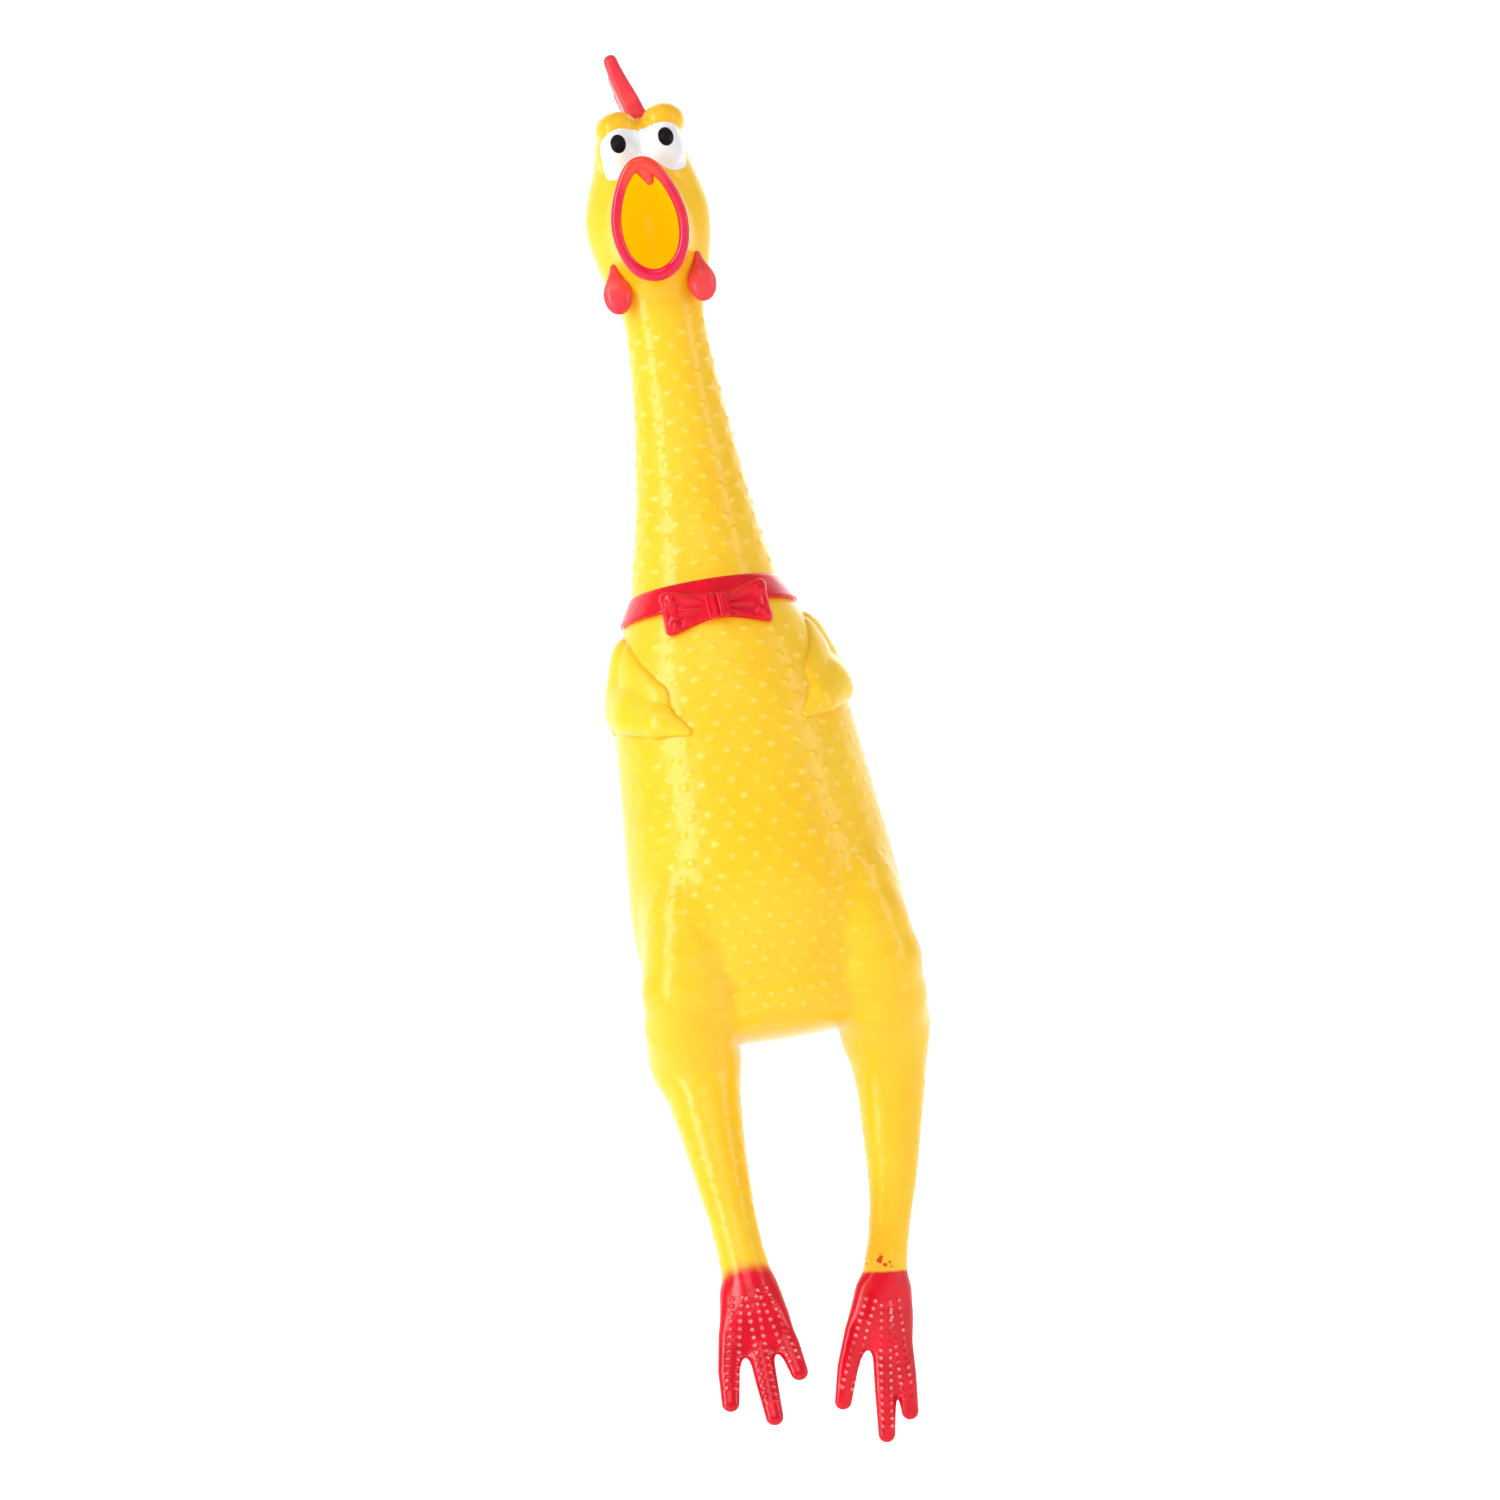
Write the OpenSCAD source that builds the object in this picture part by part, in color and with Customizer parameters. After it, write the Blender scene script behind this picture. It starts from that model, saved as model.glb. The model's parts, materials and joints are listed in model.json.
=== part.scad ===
// Rubber chicken: a hollow soft vinyl squeeze toy that screams through a squeaker in its throat.
// The skin is split into the zones that bend against each other. Each bend is a ball end in an open rim.
// +Z runs up to the head, -Y is the chicken's front, +X is on the right when it is seen from the front.
// The origin is at the middle of the torso, where a hand grips it. Sizes are in millimetres.

/* [Torso] */
// Half of the torso's width at the hips
hip_half_w = 40; // [37:0.5:42]
// Depth of the belly in front of the centre
belly_depth = 34; // [31:0.5:36]
// Depth of the back behind the centre
back_depth = 30; // [28:0.5:32]
// Thickness of the vinyl
wall = 2.2; // [1.8:0.1:2.4]

/* [Neck and head] */
// Half of the head's width across the cheeks
cheek_half_w = 17.5; // [16.5:0.25:18.5]
// Half of the mouth's width, to the outside of its red rim
mouth_half_w = 10.8; // [10.4:0.1:11.2]
// Half of the mouth's height, to the outside of its red rim
mouth_half_h = 17; // [16.5:0.25:17.5]
// Radius of the red rim's bead
rim_r = 1.4; // [1.2:0.1:1.6]
// Height of the comb above its root
comb_h = 20; // [17:0.5:21]
// Lean of the comb to the viewer's left, in degrees
comb_lean = 13; // [8:1:16]
// Turn of the head to the viewer's left, in degrees
head_turn = 5; // [3:1:7]

/* [Legs] */
// Distance from the hip's centre to the knee's
thigh_l = 44; // [40:1:46]
// Distance from the knee's centre to the ankle's
shank_l = 29; // [27:1:32]
// Distance from the ankle's centre to the longest toe's tip
foot_l = 47.7; // [44.7:1:49.7]
// Inward lean of the left leg, in degrees
lean_left = 2.5; // [0:0.5:4]
// Inward lean of the right leg, in degrees
lean_right = 6.5; // [5:0.5:8]
// Forward swing of the left leg, in degrees
swing_left = 25; // [21:1:26]

/* [Collar and bow] */
// Half of the bow's width
bow_half_w = 15.6; // [13.6:0.2:16]
// Height of the bow's ends
bow_h = 13; // [11:0.5:14]

/* [Hidden] */

YELLOW = [1, 0.83, 0.12];
RED = [0.9, 0.03, 0.12];
CORAL = [0.95, 0.3, 0.26];
BLACK = [0.02, 0.02, 0.02];

$fn = 64;
gap = 0.4;       // clearance between pieces that move against each other
press = 0.3;     // how far one fixed piece sinks into the next
rim_lat = 27;    // a rim stops this many degrees past its ball's equator, so the joint can bend by 25
sides = 40;      // points around a lofted ring

// Height of each bend's centre and radius of its ball
neck_base_z = 76;
neck_base_r = 18.2;
neck_mid_z = 108;
neck_mid_r = 13.4;
head_base_z = 143;
head_base_r = 10.8;
hip = [27, 0, -60];
hip_r = 11.8;
knee_r = 6.4;
ankle_r = 5.2;

// Torso outline: [height, radius] from the bottom up
torso_bottom_z = -54.5;
torso_top_z = neck_base_z - (neck_base_r + gap) * sin(rim_lat);
dome_h = 9;
collar_z = 60;
half_w_curve = [
    [torso_bottom_z, hip_half_w - 4.5], [-50, hip_half_w - 1.8], [-44, hip_half_w], [-34, hip_half_w - 0.4],
    [-22, hip_half_w - 2], [-8, 36.2], [5, 34.6], [20, 32.4], [36, 29.6], [48, 27.4], [55, 24.9],
    [collar_z, 23], [64, 21.2], [torso_top_z, 19.6]
];
front_curve = [
    [torso_bottom_z, 22], [-48, 26], [-40, 29], [-26, belly_depth - 1.5], [-8, belly_depth],
    [10, belly_depth - 1], [27, 30], [42, 27], [52, 24.8], [collar_z, 23], [64, 21.2], [torso_top_z, 19.6]
];
back_curve = [
    [torso_bottom_z, 21], [-46, 25], [-30, back_depth - 1], [-8, back_depth], [10, back_depth - 1],
    [27, 27], [42, 24.8], [52, 23.8], [collar_z, 23], [64, 21.2], [torso_top_z, 19.6]
];

// Belly panel: the zone of the front that a squeeze pushes in
panel_z = -9;
panel_half_w = 20;
panel_half_h = 31;

// Neck and leg outlines: [distance along, radius]
neck_curve = [[64, 21.2], [72, 20.2], [82, 18], [94, 16], [108, 14.3], [121, 12.8], [133, 11.9], [145, 11.4]];
leg_curve = [[0, 11.5], [8, 11], [20, 9.7], [33, 8.3], [44, 7.4], [60, 6.3], [78, 6]];

// Head outline: [height, radius]
head_top_z = 200.5;
head_dome_h = 4;
head_w_curve = [
    [head_base_z, 11], [148, 12], [153, 13.4], [160, 15.2], [167, cheek_half_w - 0.8], [175, cheek_half_w],
    [183, cheek_half_w - 1.9], [190, 13.9], [196, 12.8], [head_top_z, 12]
];
head_front_curve = [
    [head_base_z, 11], [148, 11.6], [156, 12.6], [166, 13.4], [180, 13.8], [192, 13.8], [head_top_z, 12]
];
head_back_curve = [
    [head_base_z, 11], [148, 11.8], [156, 13.4], [168, 15.6], [182, 16.4], [192, 15.6], [head_top_z, 13]
];

// Mouth: an egg outline, narrow end up, on a front plane that leans forward at the top
mouth_z = 169;
mouth_y = -25;
mouth_slope = 0.286;
mouth_egg = 0.12;
beak_root_y = -8;
beak_wall = 1.8;

comb_z = 203.2;
comb_r = 2.85;
squeaker_z = 121;
squeaker_r = 7.5;

// Each toe's tip, [to the viewer's right, below the ankle], on a foot whose longest toe ends at toe_reach
toe_reach = 47.7;
left_toes = [[-12.6, 38], [-2, 44.4], [7.4, 33.4]];
right_toes = [[-12.8, 38], [-0.9, toe_reach], [5.9, 41.8]];
// Knuckles along a toe: [share of its spread, share of its length, half-width]
knuckles = [[0.3, 0.28, 3.8], [0.6, 0.52, 3.3], [0.86, 0.77, 3], [1, 1, 2.7]];

// A smooth curve through [position, value] points
function span_of(x, p, i = 0) = (i >= len(p) - 2 || x <= p[i + 1][0]) ? i : span_of(x, p, i + 1);
function slope_at(p, i) =
    let (a = max(i - 1, 0), b = min(i + 1, len(p) - 1)) (p[b][1] - p[a][1]) / (p[b][0] - p[a][0]);
function curve(x, p) =
    let (
        i = span_of(x, p),
        h = p[i + 1][0] - p[i][0],
        t = (x - p[i][0]) / h,
        from = p[i][1],
        to = p[i + 1][1]
    )
    from + (to - from) * t * t * (3 - 2 * t)
    + slope_at(p, i) * h * t * (1 - t) * (1 - t) - slope_at(p, i + 1) * h * t * t * (1 - t);
function mix(a, b, t) = a + (b - a) * t;
function steps(a, b, n) = [for (i = [0 : n]) mix(a, b, i / n)];

// One ring at height z: half-width w, depth f in front and b behind
function ring(z, w, f, b) =
    [for (i = [0 : sides - 1]) let (a = 360 * i / sides) [w * cos(a), (sin(a) < 0 ? f : b) * sin(a), z]];
function grid_faces(rows, n) =
    [for (r = [0 : rows - 2], i = [0 : n - 1]) let (j = (i + 1) % n)
        each [[r * n + i, (r + 1) * n + i, (r + 1) * n + j], [r * n + i, (r + 1) * n + j, r * n + j]]];

// A closed tube wall: its rings run up the outside, over the top edge and down the inside
module ring_shell(rings) {
    n = len(rings[0]);
    k = len(rings);
    last = [for (i = [0 : n - 1]) let (j = (i + 1) % n, a = (k - 1) * n)
        each [[a + i, i, j], [a + i, j, a + j]]];
    polyhedron(points = [for (r = rings) each r], faces = concat(grid_faces(k, n), last));
}

// A wall that is closed at one end: rings run from the outer pole to the open edge and back to the inner pole
module cup_shell(rings, outer_pole, inner_pole) {
    n = len(rings[0]);
    k = len(rings);
    caps = [for (i = [0 : n - 1]) let (j = (i + 1) % n, a = (k - 1) * n)
        each [[k * n, i, j], [k * n + 1, a + j, a + i]]];
    polyhedron(
        points = [each [for (r = rings) each r], outer_pole, inner_pole],
        faces = concat(grid_faces(k, n), caps)
    );
}

// A bending segment of tube. Its ball end is centred on the origin, and its rim is at the height `reach`,
// shaped to take the next segment's ball. `outline` gives the outer radius along +Z, starting at `start`.
module bend_segment(ball, reach, next_ball, outline, start, skin) {
    shoulder = 1.5;
    rim_in = (next_ball + gap) * cos(rim_lat);
    rotate_extrude()
        polygon(concat(
            [for (lat = [-56 : 8 : 0]) ball * [cos(lat), sin(lat)]],
            [for (z = steps(shoulder, reach, 10)) [curve(start + z, outline), z]],
            [for (z = steps(reach, shoulder, 10)) [max(curve(start + z, outline) - skin, rim_in), z]],
            [for (lat = [0 : -8 : -56]) (ball - skin) * [cos(lat), sin(lat)]]
        ));
}

// A point on the torso's surface at angle a, where -90 is the front, raised by `lift`
function torso_point(a, z, lift = 0) = [
    (curve(z, half_w_curve) + lift) * cos(a),
    ((sin(a) < 0 ? curve(z, front_curve) : curve(z, back_curve)) + lift) * sin(a),
    z
];
function torso_ring(z, lift) = ring(
    z, curve(z, half_w_curve) + lift, curve(z, front_curve) + lift, curve(z, back_curve) + lift
);
function dome_ring(t, lift) =
    let (k = pow(1 - t, 0.6))
    ring(
        torso_bottom_z - (dome_h + lift) * t,
        (curve(torso_bottom_z, half_w_curve) + lift) * k,
        (curve(torso_bottom_z, front_curve) + lift) * k,
        (curve(torso_bottom_z, back_curve) + lift) * k
    );
function torso_front_y(x, z) = -curve(z, front_curve) * sqrt(1 - pow(x / curve(z, half_w_curve), 2));

module panel_outline(grow) {
    n = 48;
    w = panel_half_w + grow;
    h = panel_half_h + grow;
    polygon([for (i = [0 : n - 1]) [w * cos(360 * i / n), h * sin(360 * i / n)]]);
}

module torso_shell() {
    dome = [0.97, 0.86, 0.66, 0.42, 0.18];
    heights = [for (z = steps(torso_bottom_z, torso_top_z, 22)) z];
    color(YELLOW)
    difference() {
        cup_shell(
            concat(
                [for (t = dome) dome_ring(t, 0)],
                [for (z = heights) torso_ring(z, 0)],
                [for (i = [len(heights) - 1 : -1 : 0]) torso_ring(heights[i], -wall)],
                [for (i = [len(dome) - 1 : -1 : 0]) dome_ring(dome[i], -wall)]
            ),
            [0, 0, torso_bottom_z - dome_h],
            [0, 0, torso_bottom_z - dome_h + wall]
        );
        translate([0, 0, panel_z])
            rotate([90, 0, 0])
                linear_extrude(height = 2 * belly_depth)
                    panel_outline(gap);
        for (s = [-1, 1])
            translate([s * hip.x, hip.y, hip.z])
                sphere(r = hip_r + gap);
    }
}

module belly_panel() {
    n = 36;
    bands = 6;
    outer = [for (k = [1 : bands], i = [0 : n - 1])
        let (a = 360 * i / n, s = k / bands)
        let (x = panel_half_w * s * cos(a), z = panel_z + panel_half_h * s * sin(a))
        [x, torso_front_y(x, z), z]];
    inner = [for (p = outer) p + [0, wall, 0]];
    m = n * bands;
    centre = [0, torso_front_y(0, panel_z), panel_z];
    fan = [for (i = [0 : n - 1]) let (j = (i + 1) % n) each [[2 * m, i, j], [2 * m + 1, m + j, m + i]]];
    sheets = [for (f = grid_faces(bands, n)) each [f, [for (k = [2 : -1 : 0]) f[k] + m]]];
    edge = [for (i = [0 : n - 1]) let (j = (i + 1) % n, a = m - n)
        each [[a + i, a + m + i, a + m + j], [a + i, a + m + j, a + j]]];
    color(YELLOW)
        polyhedron(
            points = [each outer, each inner, centre, centre + [0, wall, 0]],
            faces = concat(fan, sheets, edge)
        );
}

// A lobe on the right side of the torso along a path of [angle, height, half-width, thickness] stops
module body_lobe(path, clearance) {
    k = 18;
    m = 10;
    mean_r = 31;
    edge_h = 0.8;
    last = len(path) - 1;
    function track(t, field) = curve(t, [for (i = [0 : last]) [i / last, path[i][field]]]);
    function spine(t) = [track(t, 0) * mean_r * PI / 180, track(t, 1)];
    function spot(t, s) =
        let (
            ahead = spine(min(t + 0.02, 1)),
            behind = spine(max(t - 0.02, 0)),
            d = (ahead - behind) / norm(ahead - behind)
        )
        spine(t) + s * track(t, 2) * [-d.y, d.x];
    function on_body(t, s, lift) = let (p = spot(t, s)) torso_point(p.x / mean_r * 180 / PI, p.y, lift);
    function bulge(t, s) = track(t, 3) * sqrt(max(1 - s * s, 0)) * sqrt(sin(180 * mix(0.06, 0.94, t)));
    outer = [for (i = [0 : k], j = [0 : m]) let (t = i / k, s = 2 * j / m - 1)
        on_body(t, s, clearance + edge_h + bulge(t, s))];
    inner = [for (i = [0 : k], j = [0 : m]) on_body(i / k, 2 * j / m - 1, clearance)];
    w = m + 1;
    c = (k + 1) * w;
    cells = [for (i = [0 : k - 1], j = [0 : m - 1]) let (a = i * w + j)
        each [[a, a + w, a + w + 1], [a, a + w + 1, a + 1]]];
    back = [for (f = cells) [f[2] + c, f[1] + c, f[0] + c]];
    border = concat(
        [for (j = [0 : m - 1]) j],
        [for (i = [0 : k - 1]) i * w + m],
        [for (j = [m : -1 : 1]) k * w + j],
        [for (i = [k : -1 : 1]) i * w]
    );
    n = len(border);
    wall_faces = [for (i = [0 : n - 1]) let (a = border[i], b = border[(i + 1) % n])
        each [[a, b, b + c], [a, b + c, a + c]]];
    polyhedron(points = concat(outer, inner), faces = concat(cells, back, wall_faces));
}

// Shoulder, elbow and tip of the folded wing
module right_wing() {
    body_lobe([
        [-12, 51, 3, 1.5], [-9, 41, 7, 4], [-24, 32.5, 6.5, 5], [-52, 29, 3.6, 3.6], [-61, 27.5, 1.6, 1]
    ], gap);
}

// Swelling of the upper leg on the torso's front
module right_haunch() {
    body_lobe([[-52, -21, 3, 0.6], [-49, -28, 8, 3.4], [-42, -38, 13, 4.6], [-38, -50, 13, 2.4]], -press);
}

module wing_right() {
    color(YELLOW) right_wing();
}

module wing_left() {
    color(YELLOW) mirror([1, 0, 0]) right_wing();
}

module haunch_right() {
    color(YELLOW) right_haunch();
}

module haunch_left() {
    color(YELLOW) mirror([1, 0, 0]) right_haunch();
}

// Small pointed tail, low on the back
module tail() {
    color(YELLOW)
    translate([0, curve(-38, back_curve) - 5, -35])
        rotate([-112, 0, 0])
            union() {
                cylinder(r1 = 8, r2 = 3, h = 12);
                translate([0, 0, 11])
                    sphere(r = 3.2);
            }
}

// Raised red band around the base of the neck
module collar() {
    color(RED)
    rotate_extrude()
        polygon([
            [curve(collar_z, half_w_curve) - press, collar_z],
            [25.1, collar_z + 0.2],
            [25.2, collar_z + 1.2],
            [21.6, collar_z + 6.9],
            [20.9, collar_z + 7.4],
            [20.2, collar_z + 7.2],
            [curve(64, half_w_curve) - press, 64]
        ]);
}

// The part of a bow outline that hugs the collar
module bow_plate(inner, outer) {
    intersection() {
        translate([0, 0, collar_z - 1.8])
            rotate([90, 0, 0])
                linear_extrude(height = 40)
                    children();
        translate([0, 0, collar_z - 9])
            difference() {
                cylinder(r1 = outer + 2, r2 = outer, h = 20);
                translate([0, 0, -1])
                    cylinder(r1 = inner + 2.2, r2 = inner - 0.2, h = 22);
            }
    }
}

// Bow with concave long edges
module bow_tie() {
    pinch = 3.2;
    edge = [for (x = steps(-bow_half_w, bow_half_w, 16))
        [x, bow_h / 2 - pinch * pow(cos(90 * x / bow_half_w), 1.5)]];
    color(RED)
    bow_plate(22.4, 26.2)
        polygon(concat(edge, [for (i = [len(edge) - 1 : -1 : 0]) [edge[i].x, -edge[i].y]]));
}

module bow_knot() {
    color(RED)
    bow_plate(25.9, 27.4)
        hull()
            for (x = [-1, 1], z = [-1, 1])
                translate([x * 1.8, z * 2.2])
                    circle(r = 1.4, $fn = 32);
}

// Neck segment above the collar
module neck_lower() {
    color(YELLOW)
    translate([0, 0, neck_base_z])
        bend_segment(
            neck_base_r, neck_mid_z - (neck_mid_r + gap) * sin(rim_lat) - neck_base_z,
            neck_mid_r, neck_curve, neck_base_z, wall
        );
}

// Neck segment below the head, which grips the squeaker
module neck_upper() {
    color(YELLOW)
    translate([0, 0, neck_mid_z])
        bend_segment(
            neck_mid_r, head_base_z - (head_base_r + gap) * sin(rim_lat) - neck_mid_z,
            head_base_r, neck_curve, neck_mid_z, wall
        );
}

// Flanged tube that the vinyl grips
module squeaker_housing() {
    color("white")
    translate([0, 0, squeaker_z - 8])
        difference() {
            union() {
                cylinder(r = squeaker_r, h = 16);
                translate([0, 0, 6])
                    cylinder(r = curve(squeaker_z, neck_curve) - wall + press, h = 2.4);
            }
            translate([0, 0, -1])
                cylinder(r = squeaker_r - 1.3, h = 18);
        }
}

// Slotted cap at the housing's upper end
module squeaker_cap() {
    color("white")
    translate([0, 0, squeaker_z + 8])
        difference() {
            cylinder(r = squeaker_r + 0.4, h = 1.4);
            for (x = [-3.6 : 1.8 : 3.6])
                translate([x - 0.35, -4, -1])
                    cube([0.7, 8, 4]);
        }
}

// Trough that the reed beats against, pressed into the housing's lower end
module reed_block() {
    color("lightgrey")
    translate([0, 0, squeaker_z - 8])
        union() {
            difference() {
                cylinder(r = squeaker_r - 1.3 + 0.05, h = 2.4);
                translate([-2, -3.6, -1])
                    cube([4, 2.6, 5]);
            }
            translate([-3, -0.9, 2.4])
                cube([6, 1.6, 9.6]);
        }
}

// Thin reed standing in front of the trough, free at the top
module reed() {
    color("gold")
    translate([-2.3, -1.75, squeaker_z - 5.4])
        cube([4.6, 0.3, 9]);
}

// An egg outline in the plane y = 0, narrow end up, as points [x, 0, z]
function egg(w, h, n) =
    [for (i = [0 : n - 1]) let (a = 360 * i / n) [w * sin(a) * (1 - mouth_egg * cos(a)), 0, h * cos(a)]];
// The same outline set on the mouth's slanted front plane, moved back towards the face by `back` of the way
function mouth_ring(w, h, back, n) = [
    for (p = egg(w, h, n))
        [p.x, mix(mouth_y - mouth_slope * p.z, beak_root_y, back), mouth_z + p.z]
];

// Turns a piece of the head to the viewer's left
module on_head() {
    rotate([0, 0, -head_turn])
        children();
}

module head_shell() {
    dome = [0.96, 0.8, 0.5, 0.2];
    heights = steps(head_base_z + 2, head_top_z, 16);
    function skull(z, lift) = ring(
        z, curve(z, head_w_curve) + lift, curve(z, head_front_curve) + lift, curve(z, head_back_curve) + lift
    );
    function crown(t, lift) =
        let (k = pow(1 - t, 0.55))
        ring(
            head_top_z + (head_dome_h + lift) * t,
            (curve(head_top_z, head_w_curve) + lift) * k,
            (curve(head_top_z, head_front_curve) + lift) * k,
            (curve(head_top_z, head_back_curve) + lift) * k
        );
    function ball(lat, lift) =
        let (ball_r = head_base_r + lift, r = ball_r * cos(lat))
        ring(head_base_z + ball_r * sin(lat), r, r, r);
    lats = [0, -14, -28, -42, -56];
    color(YELLOW)
    on_head()
    difference() {
        cup_shell(
            [for (r = concat(
                [for (t = dome) crown(t, 0)],
                [for (i = [len(heights) - 1 : -1 : 0]) skull(heights[i], 0)],
                [for (lat = lats) ball(lat, 0)],
                [for (i = [len(lats) - 1 : -1 : 0]) ball(lats[i], -wall)],
                [for (z = heights) skull(z, -wall)],
                [for (i = [len(dome) - 1 : -1 : 0]) crown(dome[i], -wall)]
            )) [for (i = [len(r) - 1 : -1 : 0]) r[i]]],
            [0, 0, head_top_z + head_dome_h],
            [0, 0, head_top_z + head_dome_h - wall]
        );
        translate([0, 0, mouth_z])
            rotate([90, 0, 0])
                linear_extrude(height = 40)
                    polygon([for (p = egg(mouth_half_w + 0.9, mouth_half_h + 0.9, 40)) [p.x, p.z]]);
        translate([0, 30, comb_z])
            rotate([90, 0, 0])
                cylinder(r = comb_r + gap, h = 60);
    }
}

// Funnel from the face to the mouth's rim
module beak_shell() {
    n = 40;
    flare = 1.2;
    w = mouth_half_w - 0.6;
    h = mouth_half_h - 0.6;
    function funnel(b, lift) = mouth_ring(w + lift + flare * b, h + lift + flare * b, b, n);
    outside = [for (b = [1, 0.66, 0.33, 0.06]) funnel(b, press)];
    inside = [for (b = [0.06, 0.33, 0.66, 1]) funnel(b, -beak_wall)];
    color(YELLOW)
    on_head()
        ring_shell(concat(outside, inside));
}

// Glossy bead around the mouth
module beak_rim() {
    n = 48;
    m = 10;
    color(RED)
    on_head()
        ring_shell([for (j = [m - 1 : -1 : 0])
            let (a = 360 * j / m, inset = rim_r * (1 - cos(a)))
            let (loop = mouth_ring(mouth_half_w - inset, mouth_half_h - inset, 0, n))
            [for (p = loop) p + [0, rim_r * sin(a), 0]]]);
}

// Downward point inside the top of the upper beak
module beak_tip() {
    color(RED)
    on_head()
    translate([0, mouth_y - mouth_slope * (mouth_half_h - 3) + 0.4, mouth_z + mouth_half_h - 2 * rim_r - 3.2])
        cylinder(r1 = 0.5, r2 = 1.9, h = 4, $fn = 32);
}

// White domed eye and its black pupil, on the right of the face
module right_eye() {
    translate([6.3, -8.6, 192.6])
        scale([6, 5.9, 6.8])
            sphere(r = 1, $fn = 32);
}

module right_pupil() {
    translate([6.8, -14, 194.4])
        scale([2.1, 0.9, 2.7])
            sphere(r = 1, $fn = 24);
}

module eye_right() {
    color("white") on_head() right_eye();
}

module eye_left() {
    color("white") on_head() mirror([1, 0, 0]) right_eye();
}

module pupil_right() {
    color(BLACK) on_head() right_pupil();
}

module pupil_left() {
    color(BLACK) on_head() mirror([1, 0, 0]) right_pupil();
}

// Fan-shaped comb with a round root that turns in the slot on the crown
module comb() {
    thick = 4.6;
    // [along the crown, share of the height]
    lobes = [[-4, 0], [-4.6, 0.4], [-4.9, 0.86], [-3.2, 1], [-1, 0.96], [0.6, 0.76], [3.2, 0.86],
        [6, 0.8], [7.2, 0.54], [10.6, 0.64], [12.4, 0.54], [12.6, 0.34], [15, 0.36], [15.4, 0.2], [13.6, 0]];
    color(CORAL)
    on_head()
    translate([0, 0, comb_z])
        rotate([0, -comb_lean, 0])
            union() {
                translate([0, 14, 0])
                    rotate([90, 0, 0])
                        cylinder(r = comb_r, h = 21);
                rotate([90, 0, 90])
                    translate([0, 0, -thick / 2])
                        linear_extrude(height = thick)
                            polygon([for (p = lobes) [p.x, p.y * comb_h]]);
            }
}

// Teardrop lobe under the cheek
module right_wattle() {
    translate([12.2, -10.5, 0])
        hull() {
            translate([0, 0, 158.6])
                sphere(r = 1.5, $fn = 20);
            translate([0.2, 0, 152.4])
                scale([3.6, 2.4, 4.6])
                    sphere(r = 1, $fn = 28);
            translate([-0.6, 0, 147.6])
                sphere(r = 1.4, $fn = 20);
        }
}

module wattle_right() {
    color(CORAL) on_head() right_wattle();
}

module wattle_left() {
    color(CORAL) on_head() mirror([1, 0, 0]) right_wattle();
}

// Places a piece that hangs along -Z from the hip, `down` the leg. side is -1 for the left leg.
module on_leg(side, down) {
    translate([side * hip.x, hip.y, hip.z])
        rotate([side < 0 ? -swing_left : 0, side < 0 ? -lean_left : lean_right, 0])
            translate([0, 0, -down])
                children();
}

module thigh(side) {
    color(YELLOW)
    on_leg(side, 0)
        mirror([0, 0, 1])
            bend_segment(hip_r, thigh_l - (knee_r + gap) * sin(rim_lat), knee_r, leg_curve, 0, wall);
}

module shank(side) {
    color(YELLOW)
    on_leg(side, thigh_l)
        mirror([0, 0, 1])
            bend_segment(knee_r, shank_l - (ankle_r + gap) * sin(rim_lat), ankle_r, leg_curve, thigh_l, 1.4);
}

// Foot with three toes, each of three rounded joints
module foot(side) {
    thick = 0.62;
    toes = [for (tip = side < 0 ? left_toes : right_toes) [for (k = knuckles)
        [k[0] * tip[0], k[1] * (tip[1] / toe_reach * foot_l - knuckles[3][2]), k[2]]]];
    module knuckle(k) {
        translate([k[0], -0.02 * k[1], -k[1]])
            scale([k[2], k[2] * thick + 0.5, k[2]])
                sphere(r = 1, $fn = 20);
    }
    color(RED)
    on_leg(side, thigh_l + shank_l)
        union() {
            sphere(r = ankle_r, $fn = 32);
            hull() {
                translate([0, 0, -4])
                    sphere(r = ankle_r - 0.2, $fn = 24);
                for (t = toes)
                    knuckle(t[0]);
            }
            for (t = toes, i = [0 : 2])
                hull() {
                    knuckle(t[i]);
                    knuckle(t[i + 1]);
                }
        }
}

module thigh_left() { thigh(-1); }
module thigh_right() { thigh(1); }
module shank_left() { shank(-1); }
module shank_right() { shank(1); }
module foot_left() { foot(-1); }
module foot_right() { foot(1); }

torso_shell();
belly_panel();
haunch_left();
haunch_right();
tail();
collar();
bow_tie();
bow_knot();
wing_left();
wing_right();
neck_lower();
neck_upper();
squeaker_housing();
squeaker_cap();
reed_block();
reed();
head_shell();
beak_shell();
beak_rim();
beak_tip();
eye_left();
eye_right();
pupil_left();
pupil_right();
comb();
wattle_left();
wattle_right();
thigh_left();
thigh_right();
shank_left();
shank_right();
foot_left();
foot_right();
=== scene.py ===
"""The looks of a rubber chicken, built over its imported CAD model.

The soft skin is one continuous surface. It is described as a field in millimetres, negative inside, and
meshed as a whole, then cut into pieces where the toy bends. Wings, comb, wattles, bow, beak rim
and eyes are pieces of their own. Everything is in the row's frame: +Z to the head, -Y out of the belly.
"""
import json
import math

import bpy
import numpy as np
from mathutils import Matrix, Vector


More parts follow.
